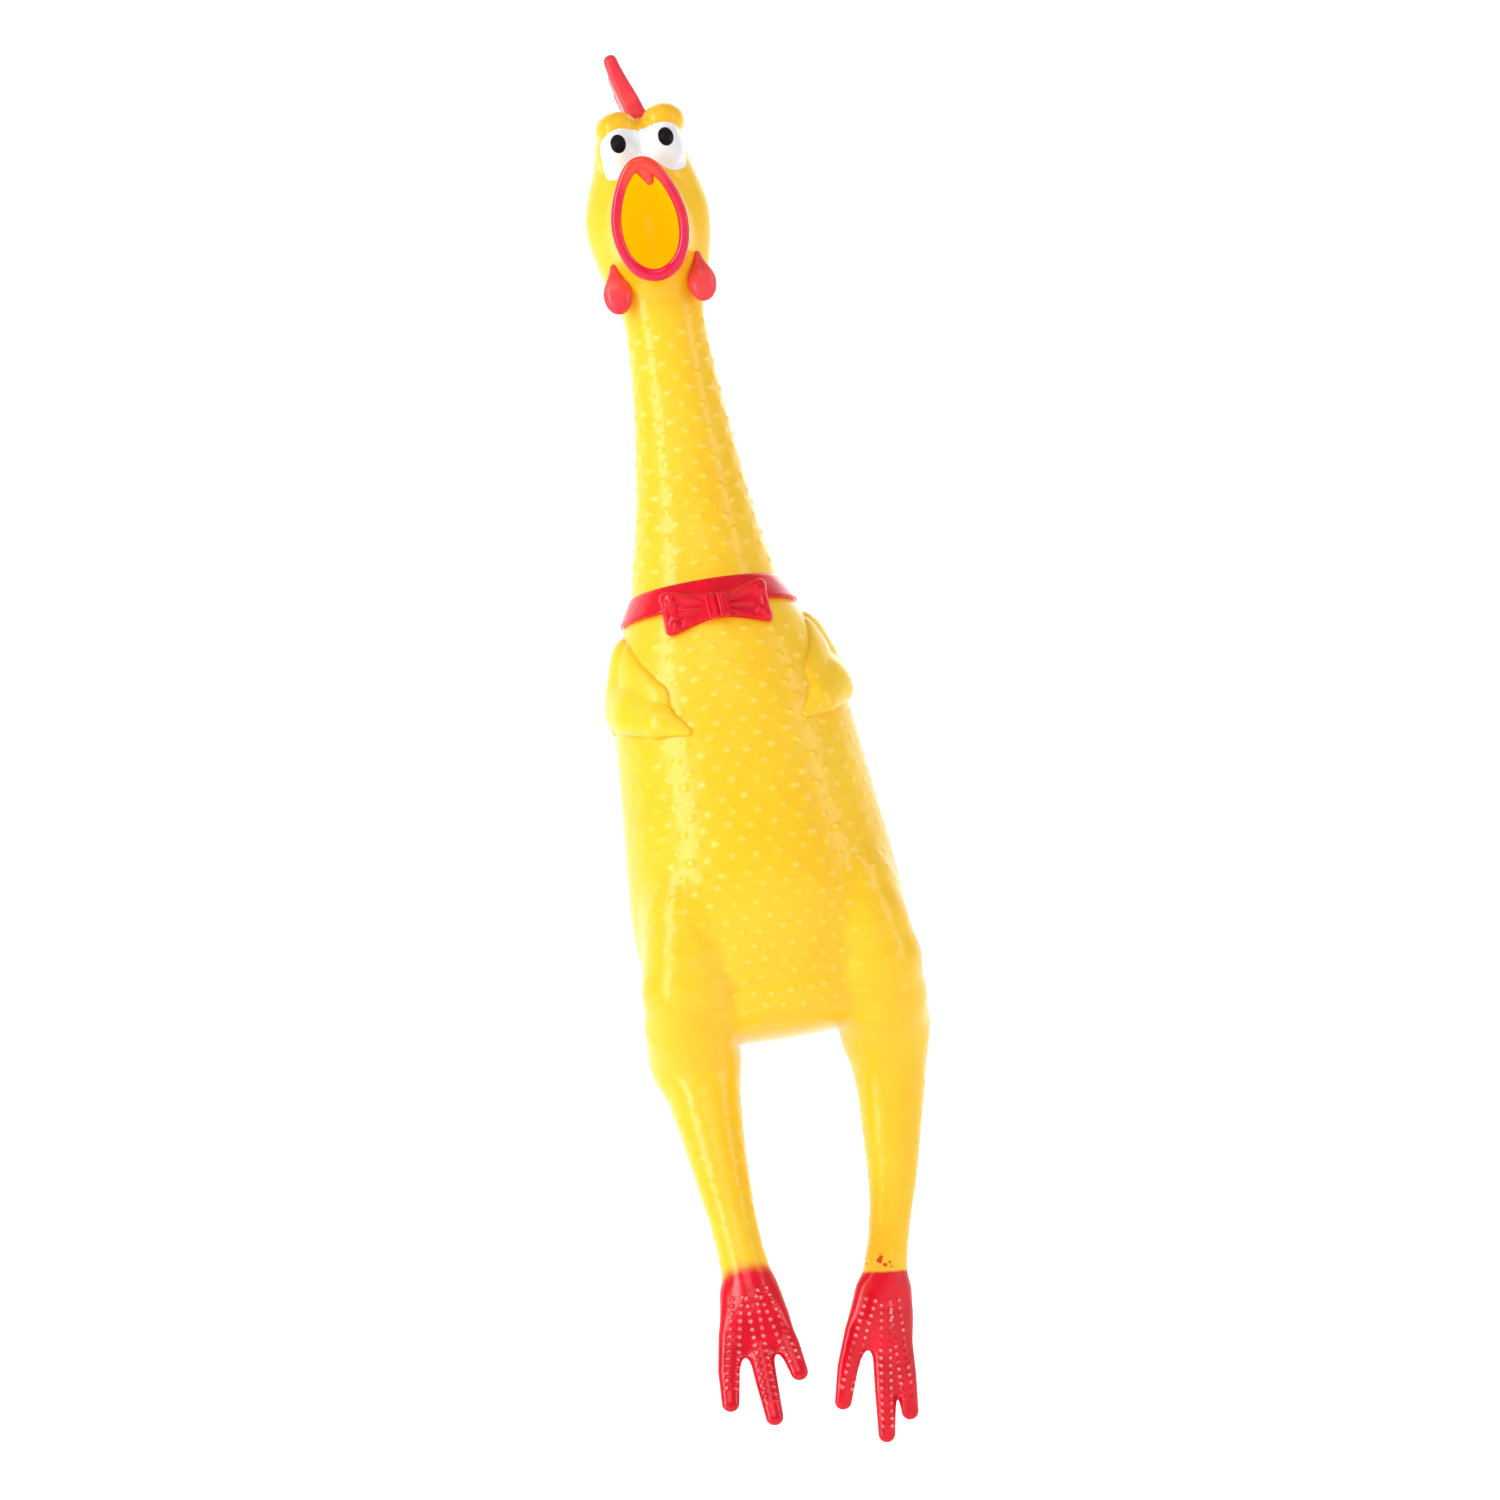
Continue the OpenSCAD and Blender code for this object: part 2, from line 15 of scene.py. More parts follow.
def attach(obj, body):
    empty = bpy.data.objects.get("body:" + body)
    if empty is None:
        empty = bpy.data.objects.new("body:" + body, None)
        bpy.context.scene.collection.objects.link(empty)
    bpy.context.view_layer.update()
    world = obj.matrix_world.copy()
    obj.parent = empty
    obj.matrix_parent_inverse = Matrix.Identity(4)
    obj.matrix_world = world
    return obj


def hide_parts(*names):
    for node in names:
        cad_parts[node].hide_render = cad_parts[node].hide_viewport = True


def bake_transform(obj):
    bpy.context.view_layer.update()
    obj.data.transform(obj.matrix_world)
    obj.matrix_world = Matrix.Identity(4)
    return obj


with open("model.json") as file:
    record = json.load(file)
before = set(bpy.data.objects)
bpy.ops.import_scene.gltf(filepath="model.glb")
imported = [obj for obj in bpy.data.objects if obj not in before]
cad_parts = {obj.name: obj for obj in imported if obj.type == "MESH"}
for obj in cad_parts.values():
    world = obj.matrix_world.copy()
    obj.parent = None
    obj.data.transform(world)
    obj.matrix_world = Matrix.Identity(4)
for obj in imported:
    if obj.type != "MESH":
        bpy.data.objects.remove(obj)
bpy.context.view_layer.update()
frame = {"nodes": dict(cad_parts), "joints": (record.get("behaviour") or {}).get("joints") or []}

MM = 0.001
JOINTS = {j["name"]: j for j in frame["joints"]}
SIDES = {"left": -1, "right": 1}

SKIN_STEP = 0.6       # mesh spacing of the skin
TRIM_STEP = 0.4       # mesh spacing of the small pieces
NUB_ROW = 4.2         # spacing of the skin's rows of nubs
NUB_PITCH = 6.7       # spacing of nubs along a row
NUB_R = 1.7           # half the width of a nub, around the body
NUB_LONG = 1.15       # half its height, along the body
NUB_H = 0.4          # how far a nub stands out
HEAD_TURN = 5.0       # degrees that the head is turned to the viewer's left


# ---------------------------------------------------------------- small maths

def joint_at(name):
    """A joint's place in millimetres."""
    return np.array(JOINTS[name]["pos_m"]) / MM


def smooth_step(x, a, b):
    t = np.clip((x - a) / (b - a), 0, 1)
    return t * t * (3 - 2 * t)


def blend_min(a, b, k):
    """The lower of a and b, rounded where they meet."""
    h = np.clip(0.5 + 0.5 * (b - a) / k, 0, 1)
    return b + (a - b) * h - k * h * (1 - h)


def blend_max(a, b, k):
    return -blend_min(-a, -b, k)


def rounded_max(a, b, edge):
    """The higher of a and b, with an outside corner of radius edge where they meet."""
    corner = np.hypot(np.maximum(a + edge, 0), np.maximum(b + edge, 0))
    return corner + np.minimum(np.maximum(a, b) + edge, 0) - edge


class Outline:
    """A smooth curve through [position, value] points, ready to look up for many points at once."""

    def __init__(self, *points, step=0.1):
        x, y = np.array(points, float).T
        fine = np.arange(x[0], x[-1] + step, step)
        i = np.clip(np.searchsorted(x, fine) - 1, 0, len(x) - 2)
        h = x[i + 1] - x[i]
        t = np.clip((fine - x[i]) / h, 0, 1)
        slope = np.empty_like(y)
        slope[1:-1] = (y[2:] - y[:-2]) / (x[2:] - x[:-2])
        slope[0] = (y[1] - y[0]) / (x[1] - x[0])
        slope[-1] = (y[-1] - y[-2]) / (x[-1] - x[-2])
        self.x = fine
        self.y = (
            y[i] + (y[i + 1] - y[i]) * t * t * (3 - 2 * t)
            + slope[i] * h * t * (1 - t) ** 2 - slope[i + 1] * h * t * t * (1 - t)
        )

    def __call__(self, x):
        return np.interp(x, self.x, self.y)


# ---------------------------------------------------------------- body outlines, in mm

BELLY_END = -63.6     # underside of the belly
BELLY_TURN = -47.0    # height where the underside starts to round off
CROWN_TURN = 197.5    # height where the crown starts to round off
CROWN_END = 203.4

HALF_WIDTH = Outline(
    (-48, 34.8), (-38, 37.8), (-26, 38.5), (-12, 37.5), (0, 36.2), (16.5, 34.6), (30, 33.2), (42, 30.4),
    (52, 27.2), (57, 25.2), (61, 23.2), (65, 21.3), (70, 20.4), (76, 19.3), (84, 17.7), (94, 16.1),
    (108, 14.3), (121, 12.8), (133, 11.9), (143, 11.5), (149, 12.3), (157, 14.8), (166, 17.1), (175, 18),
    (183, 16.4), (190, 14.1), (196, 12.9), (CROWN_TURN, 12.6), (204, 11.5)
)
FRONT = Outline(
    (-48, 26.6), (-38, 30.6), (-26, 33.2), (-8, 34), (10, 33), (27, 30), (42, 27), (52, 24.8), (57, 23.8),
    (61, 22.7), (65, 21.3), (70, 20.4), (76, 19.3), (84, 17.7), (94, 16.1), (108, 14.3), (121, 12.8),
    (133, 11.9), (143, 11.6), (150, 12.2), (158, 13), (170, 13.6), (182, 13.6), (192, 12.6), (204, 11)
)
BACK = Outline(
    (-48, 26), (-36, 28.6), (-20, 30), (-6, 30), (10, 29), (27, 27), (42, 24.8), (52, 23.8), (58, 23.2),
    (61, 22.7), (65, 21.3), (70, 20.4), (76, 19.3), (84, 17.7), (94, 16.1), (108, 14.3), (121, 12.8),
    (133, 11.9), (143, 11.7), (150, 12.6), (158, 14.4), (170, 16.2), (184, 16.6), (194, 15.2), (204, 13)
)
LEG_SLIM = {"left": 0.0, "right": 0.55}     # how much thinner each leg is near its ankle
LEG_R = Outline(
    (-12, 11), (0, 12.3), (8, 11.7), (20, 9.9), (33, 8.4), (44, 7.4), (56, 6.5), (68, 6.3), (78, 6.1), (90, 4.6)
)
# How far a leg bows to the viewer's right of its straight line, by distance down from the hip
LEG_BOW = {
    "left": Outline((-12, 1.2), (0, 1.2), (14, 0.9), (36, 0.2), (60, 0), (130, 0)),
    "right": Outline(
        (-12, 1.2), (5, 2.1), (20, 2.9), (34, 2.5), (48, 1.9), (62, 0.1), (71, -1.3), (84, -2.2), (130, -3)
    ),
}


# How far the soft body leans to the viewer's right of its straight axis, by height
SWAY = Outline(
    (-70, 1.2), (-40, 1.3), (-10, 1.0), (15, 0.5), (35, 0), (50, -0.8), (62, -1.5), (76, -1.2), (100, -0.4),
    (130, 0), (176, 0), (190, 0.7), (204, 1.2)
)


def straight(p):
    """Points as they would be if the body had no sway."""
    q = p.copy()
    q[:, 0] -= SWAY(p[:, 2])
    return q


def end_scale(z):
    """How far the body's section has closed towards its two ends, 1 along the middle and 0 at the ends."""
    low = np.clip((BELLY_TURN - z) / (BELLY_TURN - BELLY_END), 0, 1)
    high = np.clip((z - CROWN_TURN) / (CROWN_END - CROWN_TURN), 0, 1)
    return (1 - low ** 2.7) ** (1 / 2.7) * (1 - high ** 2.2) ** (1 / 2.2)


def turned(p):
    """Points seen from the head's own frame, which is turned a little about Z above the neck."""
    a = np.radians(HEAD_TURN) * smooth_step(p[:, 2], 138, 156)
    c, s = np.cos(a), np.sin(a)
    return np.stack([c * p[:, 0] - s * p[:, 1], s * p[:, 0] + c * p[:, 1], p[:, 2]], 1)


def body_radius(angle, z):
    """Distance from the body's axis to its surface. Angle -90 degrees is the front."""
    c, s = np.cos(angle), np.sin(angle)
    depth = np.where(s < 0, FRONT(z), BACK(z))
    k = end_scale(z)
    return k / np.sqrt((c / HALF_WIDTH(z)) ** 2 + (s / depth) ** 2)


def body_loft(q):
    x, y, z = q.T
    r = np.hypot(x, y)
    past = np.maximum(BELLY_END - z, 0) + np.maximum(z - CROWN_END, 0)
    return r - body_radius(np.arctan2(y, x), z) + past


def ellipsoid(p, centre, radii):
    q = (p - centre) / radii
    n = np.linalg.norm(q, axis=1)
    return (n - 1) * min(radii)


def capsule(p, a, b, ra, rb, flat=1.0):
    """A round bar from a to b whose radius goes from ra to rb. flat squeezes it front to back."""
    a, b = np.array(a, float), np.array(b, float)
    scale = np.array([1, 1 / flat, 1])
    pa, ba = (p - a) * scale, (b - a) * scale
    t = np.clip(pa @ ba / (ba @ ba), 0, 1)
    return (np.linalg.norm(pa - t[:, None] * ba, axis=1) - (ra + (rb - ra) * t)) * flat ** 0.5


# ---------------------------------------------------------------- legs and feet

class Leg:
    """A leg's own frame: x to the viewer's right, y to the back, and d down the leg from the hip."""

    def __init__(self, side):
        self.side = side
        self.hip = joint_at(f"hip_{side}_swing")
        knee = joint_at(f"knee_{side}_bend")
        ankle = joint_at(f"ankle_{side}_bend")
        self.down = (ankle - self.hip) / np.linalg.norm(ankle - self.hip)
        self.across = -np.array(JOINTS[f"ankle_{side}_bend"]["axis"], float)
        self.back = np.cross(-self.down, self.across)
        self.knee_d = np.linalg.norm(knee - self.hip)
        self.ankle_d = np.linalg.norm(ankle - self.hip)

    def local(self, p):
        """Columns x, y and -d, with x measured from the leg's bowed middle."""
        q = (p - self.hip) @ np.stack([self.across, self.back, -self.down], 1)
        q[:, 0] -= LEG_BOW[self.side](-q[:, 2])
        return q

    def world(self, x, y, d):
        return self.hip + x * self.across + y * self.back + d * self.down

    def point_m(self, d):
        return tuple(self.world(0, 0, d) * MM)


LEGS = {side: Leg(side) for side in SIDES}

def beside(p, side):
    """Which points lie on this leg's side. The right foot's inner toe reaches over the middle."""
    middle = -7 * smooth_step(-p[:, 2], 85, 125)
    return (p[:, 0] - middle) * SIDES[side] > 0


# Each toe's tip: [across, below the ankle]. Both feet come from the same mould, so they splay alike.
TOES = {
    "left": ((-12.6, 38), (-2, 44.4), (7.4, 33.4)),
    "right": ((-12.8, 38), (-0.9, 47.7), (5.9, 41.8)),
}
TOE_FLAT = 0.66


def toe_line(leg, toe):
    """Four points down a toe in the leg's frame, with the toe's half-width at each."""
    x, drop = toe
    path = ((0.3, 0.16, 4.2), (0.64, 0.46, 3.5), (0.87, 0.74, 3.0), (1.0, 1.0, 2.4))
    return [(x * fx, -1.2 * fd, leg.ankle_d + (drop - 2.6) * fd, w) for fx, fd, w in path]


def foot_field(leg, q):
    """The foot in the leg's frame."""
    f = capsule(q, (0, 0, -leg.ankle_d + 4), (0, -0.4, -leg.ankle_d - 11), 6.0 - LEG_SLIM[leg.side], 5.8, 0.8)
    web = 1 - smooth_step(-q[:, 2], leg.ankle_d + 15, leg.ankle_d + 33)
    for toe in TOES[leg.side]:
        line = toe_line(leg, toe)
        bars = [
            capsule(q, (x0, y0, -d0), (x1, y1, -d1), r0, r1, TOE_FLAT)
            for (x0, y0, d0, r0), (x1, y1, d1, r1) in zip(line, line[1:])
        ]
        f = blend_min(f, np.minimum.reduce(bars), 1.6 + 3.2 * web)
    return f


def leg_field(leg, p):
    q = leg.local(p)
    d = -q[:, 2]
    tube = np.hypot(q[:, 0], q[:, 1]) - LEG_R(d) + LEG_SLIM[leg.side] * smooth_step(d, 30, 66)
    tube = np.maximum(tube, d - leg.ankle_d - 9)
    tube = blend_max(tube, -13 - d, 3.0)
    near = d > leg.ankle_d - 12
    if near.any():
        tube[near] = blend_min(tube[near], foot_field(leg, q[near]), 1.6)
    return tube


def haunch_field(side, p):
    """Swelling where the upper leg lies on the belly."""
    s = SIDES[side]
    chain = (
        (24.6, -17.0, -26, 9.2), (25.2, -17.2, -36, 11.4), (26.2, -14.8, -46, 12.9), (26.9, -9, -56, 12.7),
        (27.2, -3, -65, 12.0)
    )
    f = None
    for (x0, y0, z0, r0), (x1, y1, z1, r1) in zip(chain, chain[1:]):
        bar = capsule(p, (s * x0 + 0.8, y0, z0), (s * x1 + 0.8, y1, z1), r0, r1)
        f = bar if f is None else blend_min(f, bar, 2.0)
    return f


# ---------------------------------------------------------------- head

MOUTH_Z = 169.0
MOUTH_Y = -25.0       # the mouth's front plane, at its middle
MOUTH_SLOPE = 0.286   # how far the plane leans forward with height
MOUTH_W, MOUTH_H = 9.25, 15.3
EGG = 0.12            # how much narrower the mouth is at its top
THROAT_Y = 1.0


def mouth_front(z):
    return MOUTH_Y - MOUTH_SLOPE * (z - MOUTH_Z)


def egg_distance(x, z, w, h):
    """Rough distance from an egg outline, narrow end up."""
    v = (z - MOUTH_Z) / h
    u = x / (w * (1 - EGG * np.clip(v, -1, 1)))
    n = np.sqrt(u * u + v * v)
    return (n - 1) * np.minimum(w, h)


def beak_field(q):
    """Funnel of skin from the face to the mouth's rim, before it is hollowed."""
    x, y, z = q.T
    front = mouth_front(z)
    back = np.clip((y - front) / (-8 - front), 0, 1.6)
    f = egg_distance(x, z, MOUTH_W + 0.5 + 2.2 * back, MOUTH_H + 0.5 + 1.4 * back)
    return np.maximum(np.maximum(f, front - y), y - 2)


def throat_field(q):
    """The inside of the throat seen through the open mouth."""
    x, y, z = q.T
    front = mouth_front(z)
    along = np.clip((y - front) / (THROAT_Y - front), 0, 1)
    close = np.sqrt(np.clip(1 - np.clip((along - 0.35) / 0.65, 0, 1) ** 2.4, 0.0004, 1))
    return egg_distance(x, z, (MOUTH_W - 0.9) * close, (MOUTH_H - 0.9) * close) + np.maximum(y - THROAT_Y, 0)


def head_field(f, q):
    """Adds the face to the body's loft. q is in the head's turned frame."""
    for s in (-1, 1):
        brow = ellipsoid(q, (s * 6.7 + 2.1, -6.4, 200.2 + 0.3 * s), (6.3, 7.8, 5.1))
        f = blend_min(f, brow, 1.6)
        bulge = ellipsoid(q, (s * 6.3 + 1.0, -8.2, 192.4), (6.4, 6.6, 7.4))
        f = blend_min(f, bulge, 1.2)
    f = blend_min(f, beak_field(q), 4.0)
    return blend_max(f, -throat_field(q), 0.6)


# ---------------------------------------------------------------- the whole skin

def tail_field(p):
    return capsule(p, (0, 24, -34), (0, 36.5, -40.5), 8, 2.9)


def skin_field(p):
    """The whole skin without its nubs."""
    q = turned(p)
    f = body_loft(straight(q))
    z = p[:, 2]
    for side, leg in LEGS.items():
        near = (z < -12) & (p[:, 0] * SIDES[side] > -26)
        if near.any():
            outside = smooth_step(np.abs(p[near, 0]), 17, 28)
            top = smooth_step(z[near], -38, -24)
            soft = 3.0 + 4.5 * np.maximum(outside, 0.7 * top)
            part = blend_min(f[near], haunch_field(side, p[near]), soft)
            f[near] = blend_min(part, leg_field(leg, p[near]), 4.0)
    near = (z < -10) & (p[:, 1] > 10) & (z > -62)
    if near.any():
        f[near] = blend_min(f[near], tail_field(p[near]), 5.0)
    near = z > 146
    if near.any():
        f[near] = head_field(f[near], q[near])
    return f


# ---------------------------------------------------------------- meshing

def gradient(field, p, e=0.04):
    g = np.empty_like(p)
    for a in range(3):
        d = np.zeros(3)
        d[a] = e
        g[:, a] = (field(p + d) - field(p - d)) / (2 * e)
    return g


def settle(field, p, rounds=3):
    """Moves points onto the field's surface and returns them with their outward normals."""
    for _ in range(rounds):
        g = gradient(field, p)
        step = field(p) / np.maximum((g * g).sum(1), 0.05)
        p = p - np.clip(step, -0.8, 0.8)[:, None] * g
    g = gradient(field, p)
    return p, g / np.maximum(np.linalg.norm(g, axis=1), 1e-9)[:, None]


CORNERS = np.array([(i, j, k) for i in (0, 1) for j in (0, 1) for k in (0, 1)])
EDGES = [(a, b) for a in range(8) for b in range(a + 1, 8) if np.abs(CORNERS[a] - CORNERS[b]).sum() == 1]


def sample_grid(field, low, high, step, block=8, reach=4.0):
    """The field on a regular grid. Blocks that the surface stays out of only get its sign."""
    blocks = np.ceil((np.array(high) - low) / (step * block)).astype(int)
    coarse_axes = [low[a] + np.arange(blocks[a] + 1) * step * block for a in range(3)]
    coarse = np.stack(np.meshgrid(*coarse_axes, indexing="ij"), -1).reshape(-1, 3)
    c = field(coarse).reshape(blocks + 1)
    corners = np.stack([
        c[i:i + blocks[0], j:j + blocks[1], k:k + blocks[2]] for i, j, k in CORNERS
    ])
    active = (corners.min(0) < 0) & (corners.max(0) > 0) | (np.abs(corners).min(0) < reach)
    count = blocks * block + 1
    values = np.ones(count, np.float32)
    wanted = np.zeros(count, bool)
    for i, j, k in np.argwhere(np.ones(blocks, bool)):
        spot = tuple(slice(v * block, v * block + block + 1) for v in (i, j, k))
        if active[i, j, k]:
            wanted[spot] = True
        elif corners[0][i, j, k] < 0:
            values[spot] = -1
    index = np.argwhere(wanted)
    points = index * step + low
    out = np.concatenate([field(points[n:n + 400000]) for n in range(0, len(points), 400000)])
    values[tuple(index.T)] = out
    return values


def mesh_from_field(field, low, high, step):
    """Surface nets: one vertex in each grid cell that the surface crosses, and quads around crossed edges."""
    low = np.array(low, float)
    v = sample_grid(field, low, high, step)
    inside = v < 0
    size = np.array(v.shape) - 1
    stack = [inside[i:i + size[0], j:j + size[1], k:k + size[2]] for i, j, k in CORNERS]
    total = sum(s.astype(np.int8) for s in stack)
    cells = np.argwhere((total > 0) & (total < 8))
    number = np.full(size, -1, np.int64)
    number[tuple(cells.T)] = np.arange(len(cells))
    at = np.stack([v[tuple((cells + c).T)] for c in CORNERS], 1)
    place = np.zeros((len(cells), 3))
    hits = np.zeros(len(cells))
    for a, b in EDGES:
        crossed = (at[:, a] < 0) != (at[:, b] < 0)
        t = np.where(crossed, at[:, a] / np.where(crossed, at[:, a] - at[:, b], 1), 0)
        spot = CORNERS[a] + t[:, None] * (CORNERS[b] - CORNERS[a])
        place += np.where(crossed[:, None], spot, 0)
        hits += crossed
    points = (cells + place / hits[:, None]) * step + low
    quads = []
    for axis in range(3):
        u, w = [a for a in range(3) if a != axis]
        first = [slice(None)] * 3
        second = [slice(None)] * 3
        first[axis], second[axis] = slice(0, -1), slice(1, None)
        flip = inside[tuple(first)] != inside[tuple(second)]
        edge = np.argwhere(flip)
        edge = edge[(edge[:, u] > 0) & (edge[:, w] > 0) & (edge[:, u] < size[u]) & (edge[:, w] < size[w])]
        solid_first = inside[tuple(edge.T)]
        ring = []
        for du, dw in ((0, 0), (1, 0), (1, 1), (0, 1)):
            cell = edge.copy()
            cell[:, u] -= du
            cell[:, w] -= dw
            ring.append(number[tuple(cell.T)])
        q = np.stack(ring, 1)
        turn = solid_first if axis == 1 else ~solid_first
        q[turn] = q[turn][:, ::-1]
        quads.append(q)
    return points, np.concatenate(quads)


def vertex_normals(points, quads):
    """Area-weighted normals of a quad mesh."""
    n = np.cross(points[quads[:, 2]] - points[quads[:, 0]], points[quads[:, 3]] - points[quads[:, 1]])
    out = np.zeros_like(points)
    for c in range(4):
        np.add.at(out, quads[:, c], n)
    return out / np.maximum(np.linalg.norm(out, axis=1), 1e-12)[:, None]


def show(name, mesh, marks):
    """A smooth-shaded object. marks are one number or one vector a vertex, for the materials to read."""
    mesh.polygons.foreach_set("use_smooth", np.ones(len(mesh.polygons), bool))
    for key, values in marks.items():
        vector = values.ndim == 2
        layer = mesh.attributes.new(key, "FLOAT_VECTOR" if vector else "FLOAT", "POINT")
        layer.data.foreach_set("vector" if vector else "value", values.astype(np.float32).ravel())
    obj = bpy.data.objects.new(name, mesh)
    bpy.context.scene.collection.objects.link(obj)
    return obj


def make_object(name, points, quads, normals, **attributes):
    """A Blender object from points in millimetres. Attributes are one number or one vector a vertex."""
    mesh = bpy.data.meshes.new(name)
    mesh.vertices.add(len(points))
    mesh.vertices.foreach_set("co", (points * MM).astype(np.float32).ravel())
    mesh.loops.add(quads.size)
    mesh.loops.foreach_set("vertex_index", quads.astype(np.int32).ravel())
    mesh.polygons.add(len(quads))
    mesh.polygons.foreach_set("loop_start", np.arange(0, quads.size, quads.shape[1], dtype=np.int32))
    mesh.update(calc_edges=True)
    mesh.validate()
    obj = show(name, mesh, attributes)
    mesh.normals_split_custom_set_from_vertices(normals)
    return obj


# ---------------------------------------------------------------- nubs

def noise_of(a, b):
    """A repeatable number from 0 to 1 for each pair of whole numbers."""
    return np.modf(np.abs(np.sin(a * 127.1 + b * 311.7) * 43758.5453))[0]


def rows_of_nubs(along, angle, radius_at):
    """Height, from 0 to 1, of staggered rows of round nubs around a tube."""
    best = np.zeros(len(along))
    base = np.round(along / NUB_ROW)
    for shift in (-1, 0, 1):
        row = base + shift
        r = np.maximum(radius_at(row * NUB_ROW), 3)
        count = np.maximum(np.round(2 * math.pi * r / NUB_PITCH), 4)
        slot = angle / (2 * math.pi) * count + 0.5 * np.mod(row, 2)
        near = np.round(slot)
        key = np.mod(near, count)
        jitter = 0.28 * (noise_of(row, key) - 0.5)
        d_around = (slot - near - jitter) * 2 * math.pi * r / count
        d_along = along - (row + 0.3 * (noise_of(key, row) - 0.5)) * NUB_ROW
        t = (d_around / NUB_R) ** 2 + (d_along / NUB_LONG) ** 2
        size = 0.72 + 0.4 * noise_of(row + 3, key + 5)
        best = np.maximum(best, size * np.clip(1 - t, 0, 1) ** 1.5)
    return best


def nub_height(p):
    """Nub height on the skin in mm, with the places that have none."""
    x, y, z = straight(p).T
    angle = np.arctan2(y, x) + math.pi / 2
    width = Outline((-64, 30), (-40, 37), (0, 33), (40, 27), (60, 22.7), (94, 16.1), (143, 11.4), (150, 11.4))
    body = rows_of_nubs(z, angle, width)
    amount = smooth_step(z, -63, -55) * (1 - smooth_step(z, 139, 148))
    amount *= 1 - smooth_step(z, 52, 56) * (1 - smooth_step(z, 68, 71))
    sideways = np.abs(np.cos(angle - math.pi / 2))
    amount *= 1 - 0.35 * smooth_step(sideways, 0.5, 0.9) * (z < 60)
    height = body * amount
    for side, leg in LEGS.items():
        q = leg.local(p)
        d = -q[:, 2]
        own = (x * SIDES[side] > 0) & (z < -14)
        on_leg = own & (np.hypot(q[:, 0], q[:, 1]) < LEG_R(d) + 1.2) & (d > -2)
        legs = rows_of_nubs(d, np.arctan2(q[:, 1], q[:, 0]), LEG_R)
        fade = 0.5 * (1 - smooth_step(d, 58, 68))
        height = np.where(on_leg, legs * fade, height)
        on_haunch = own & ~on_leg & (haunch_field(side, p) < 0.9)
        height = np.where(on_haunch, height * 0.6, height)
    return height * NUB_H


def toe_beads(leg, q):
    """Height of the two rows of small beads down each toe's front."""
    best = np.zeros(len(q))
    for toe in TOES[leg.side]:
        line = toe_line(leg, toe)
        (x0, _, d0, _), (x1, _, d1, _) = line[0], line[-1]
        run = math.hypot(x1 - x0, d1 - d0)
        ux, ud = (x1 - x0) / run, (d1 - d0) / run
        for row in (-1, 1):
            for k in range(1, int(run / BEAD_STEP)):
                s = k * BEAD_STEP
                cx = x0 + ux * s + row * 1.3 * ud
                cd = d0 + ud * s - row * 1.3 * ux
                t = ((q[:, 0] - cx) ** 2 + (-q[:, 2] - cd) ** 2) / BEAD_R ** 2
                best = np.maximum(best, np.clip(1 - t, 0, 1))
    return best * (q[:, 1] < -1.2)


# ---------------------------------------------------------------- build the skin

HIP_LINE = {side: np.array([0.6 * s, 0, -0.8]) for side, s in SIDES.items()}
HIP_START, HIP_END = 60.0, 84.0
SHANK_SEAM, FOOT_SEAM = 37.0, 60.5
NECK_SEAM, NECK_MID_SEAM, HEAD_SEAM = 65.0, 97.0, 132.0
BELLY_START, BELLY_STOP = -24.5, -34.0
FINE_PIECES = ("skin_foot", "skin_head")    # pieces meshed at half the skin's spacing
PAINT_D = {"left": 72.9, "right": 73.0}     # where the red paint starts, down each leg
PAINT_EDGE = {"left": 0.3, "right": 1.4}       # how crisp the edge of the red paint is on each leg
BEAD_H, BEAD_R, BEAD_STEP = 0.4, 0.68, 2.1


def skin_masks(centres):
    """Which faces belong to each skin piece. The seams lie where the bends on both sides are at rest."""
    x, y, z = centres.T
    masks = {}
    used = np.zeros(len(centres), bool)
    for side, leg in LEGS.items():
        d = -leg.local(centres)[:, 2]
        below = (HIP_LINE[side] @ centres.T > HIP_START) & beside(centres, side) & (z < -40)
        masks[f"skin_foot_{side}"] = below & (d > FOOT_SEAM)
        masks[f"skin_shank_{side}"] = below & (d > SHANK_SEAM) & (d <= FOOT_SEAM)
        masks[f"skin_thigh_{side}"] = below & (d <= SHANK_SEAM)
        used |= below
    masks["skin_torso"] = ~used & (z < NECK_SEAM)
    masks["skin_neck_lower"] = (z >= NECK_SEAM) & (z < NECK_MID_SEAM)
    masks["skin_neck_upper"] = (z >= NECK_MID_SEAM) & (z < HEAD_SEAM)
    masks["skin_head"] = z >= HEAD_SEAM
    return masks


def relief(p, normals):
    """How far the skin's nubs and the toes' beads raise it, in mm."""
    height = nub_height(p)
    for side, leg in LEGS.items():
        q = leg.local(p)
        low = (-q[:, 2] > leg.ankle_d + 2) & beside(p, side)
        if low.any():
            facing = np.clip(-(normals[low] @ leg.back), 0, 1)
            height[low] += toe_beads(leg, q[low]) * BEAD_H * facing
    return height


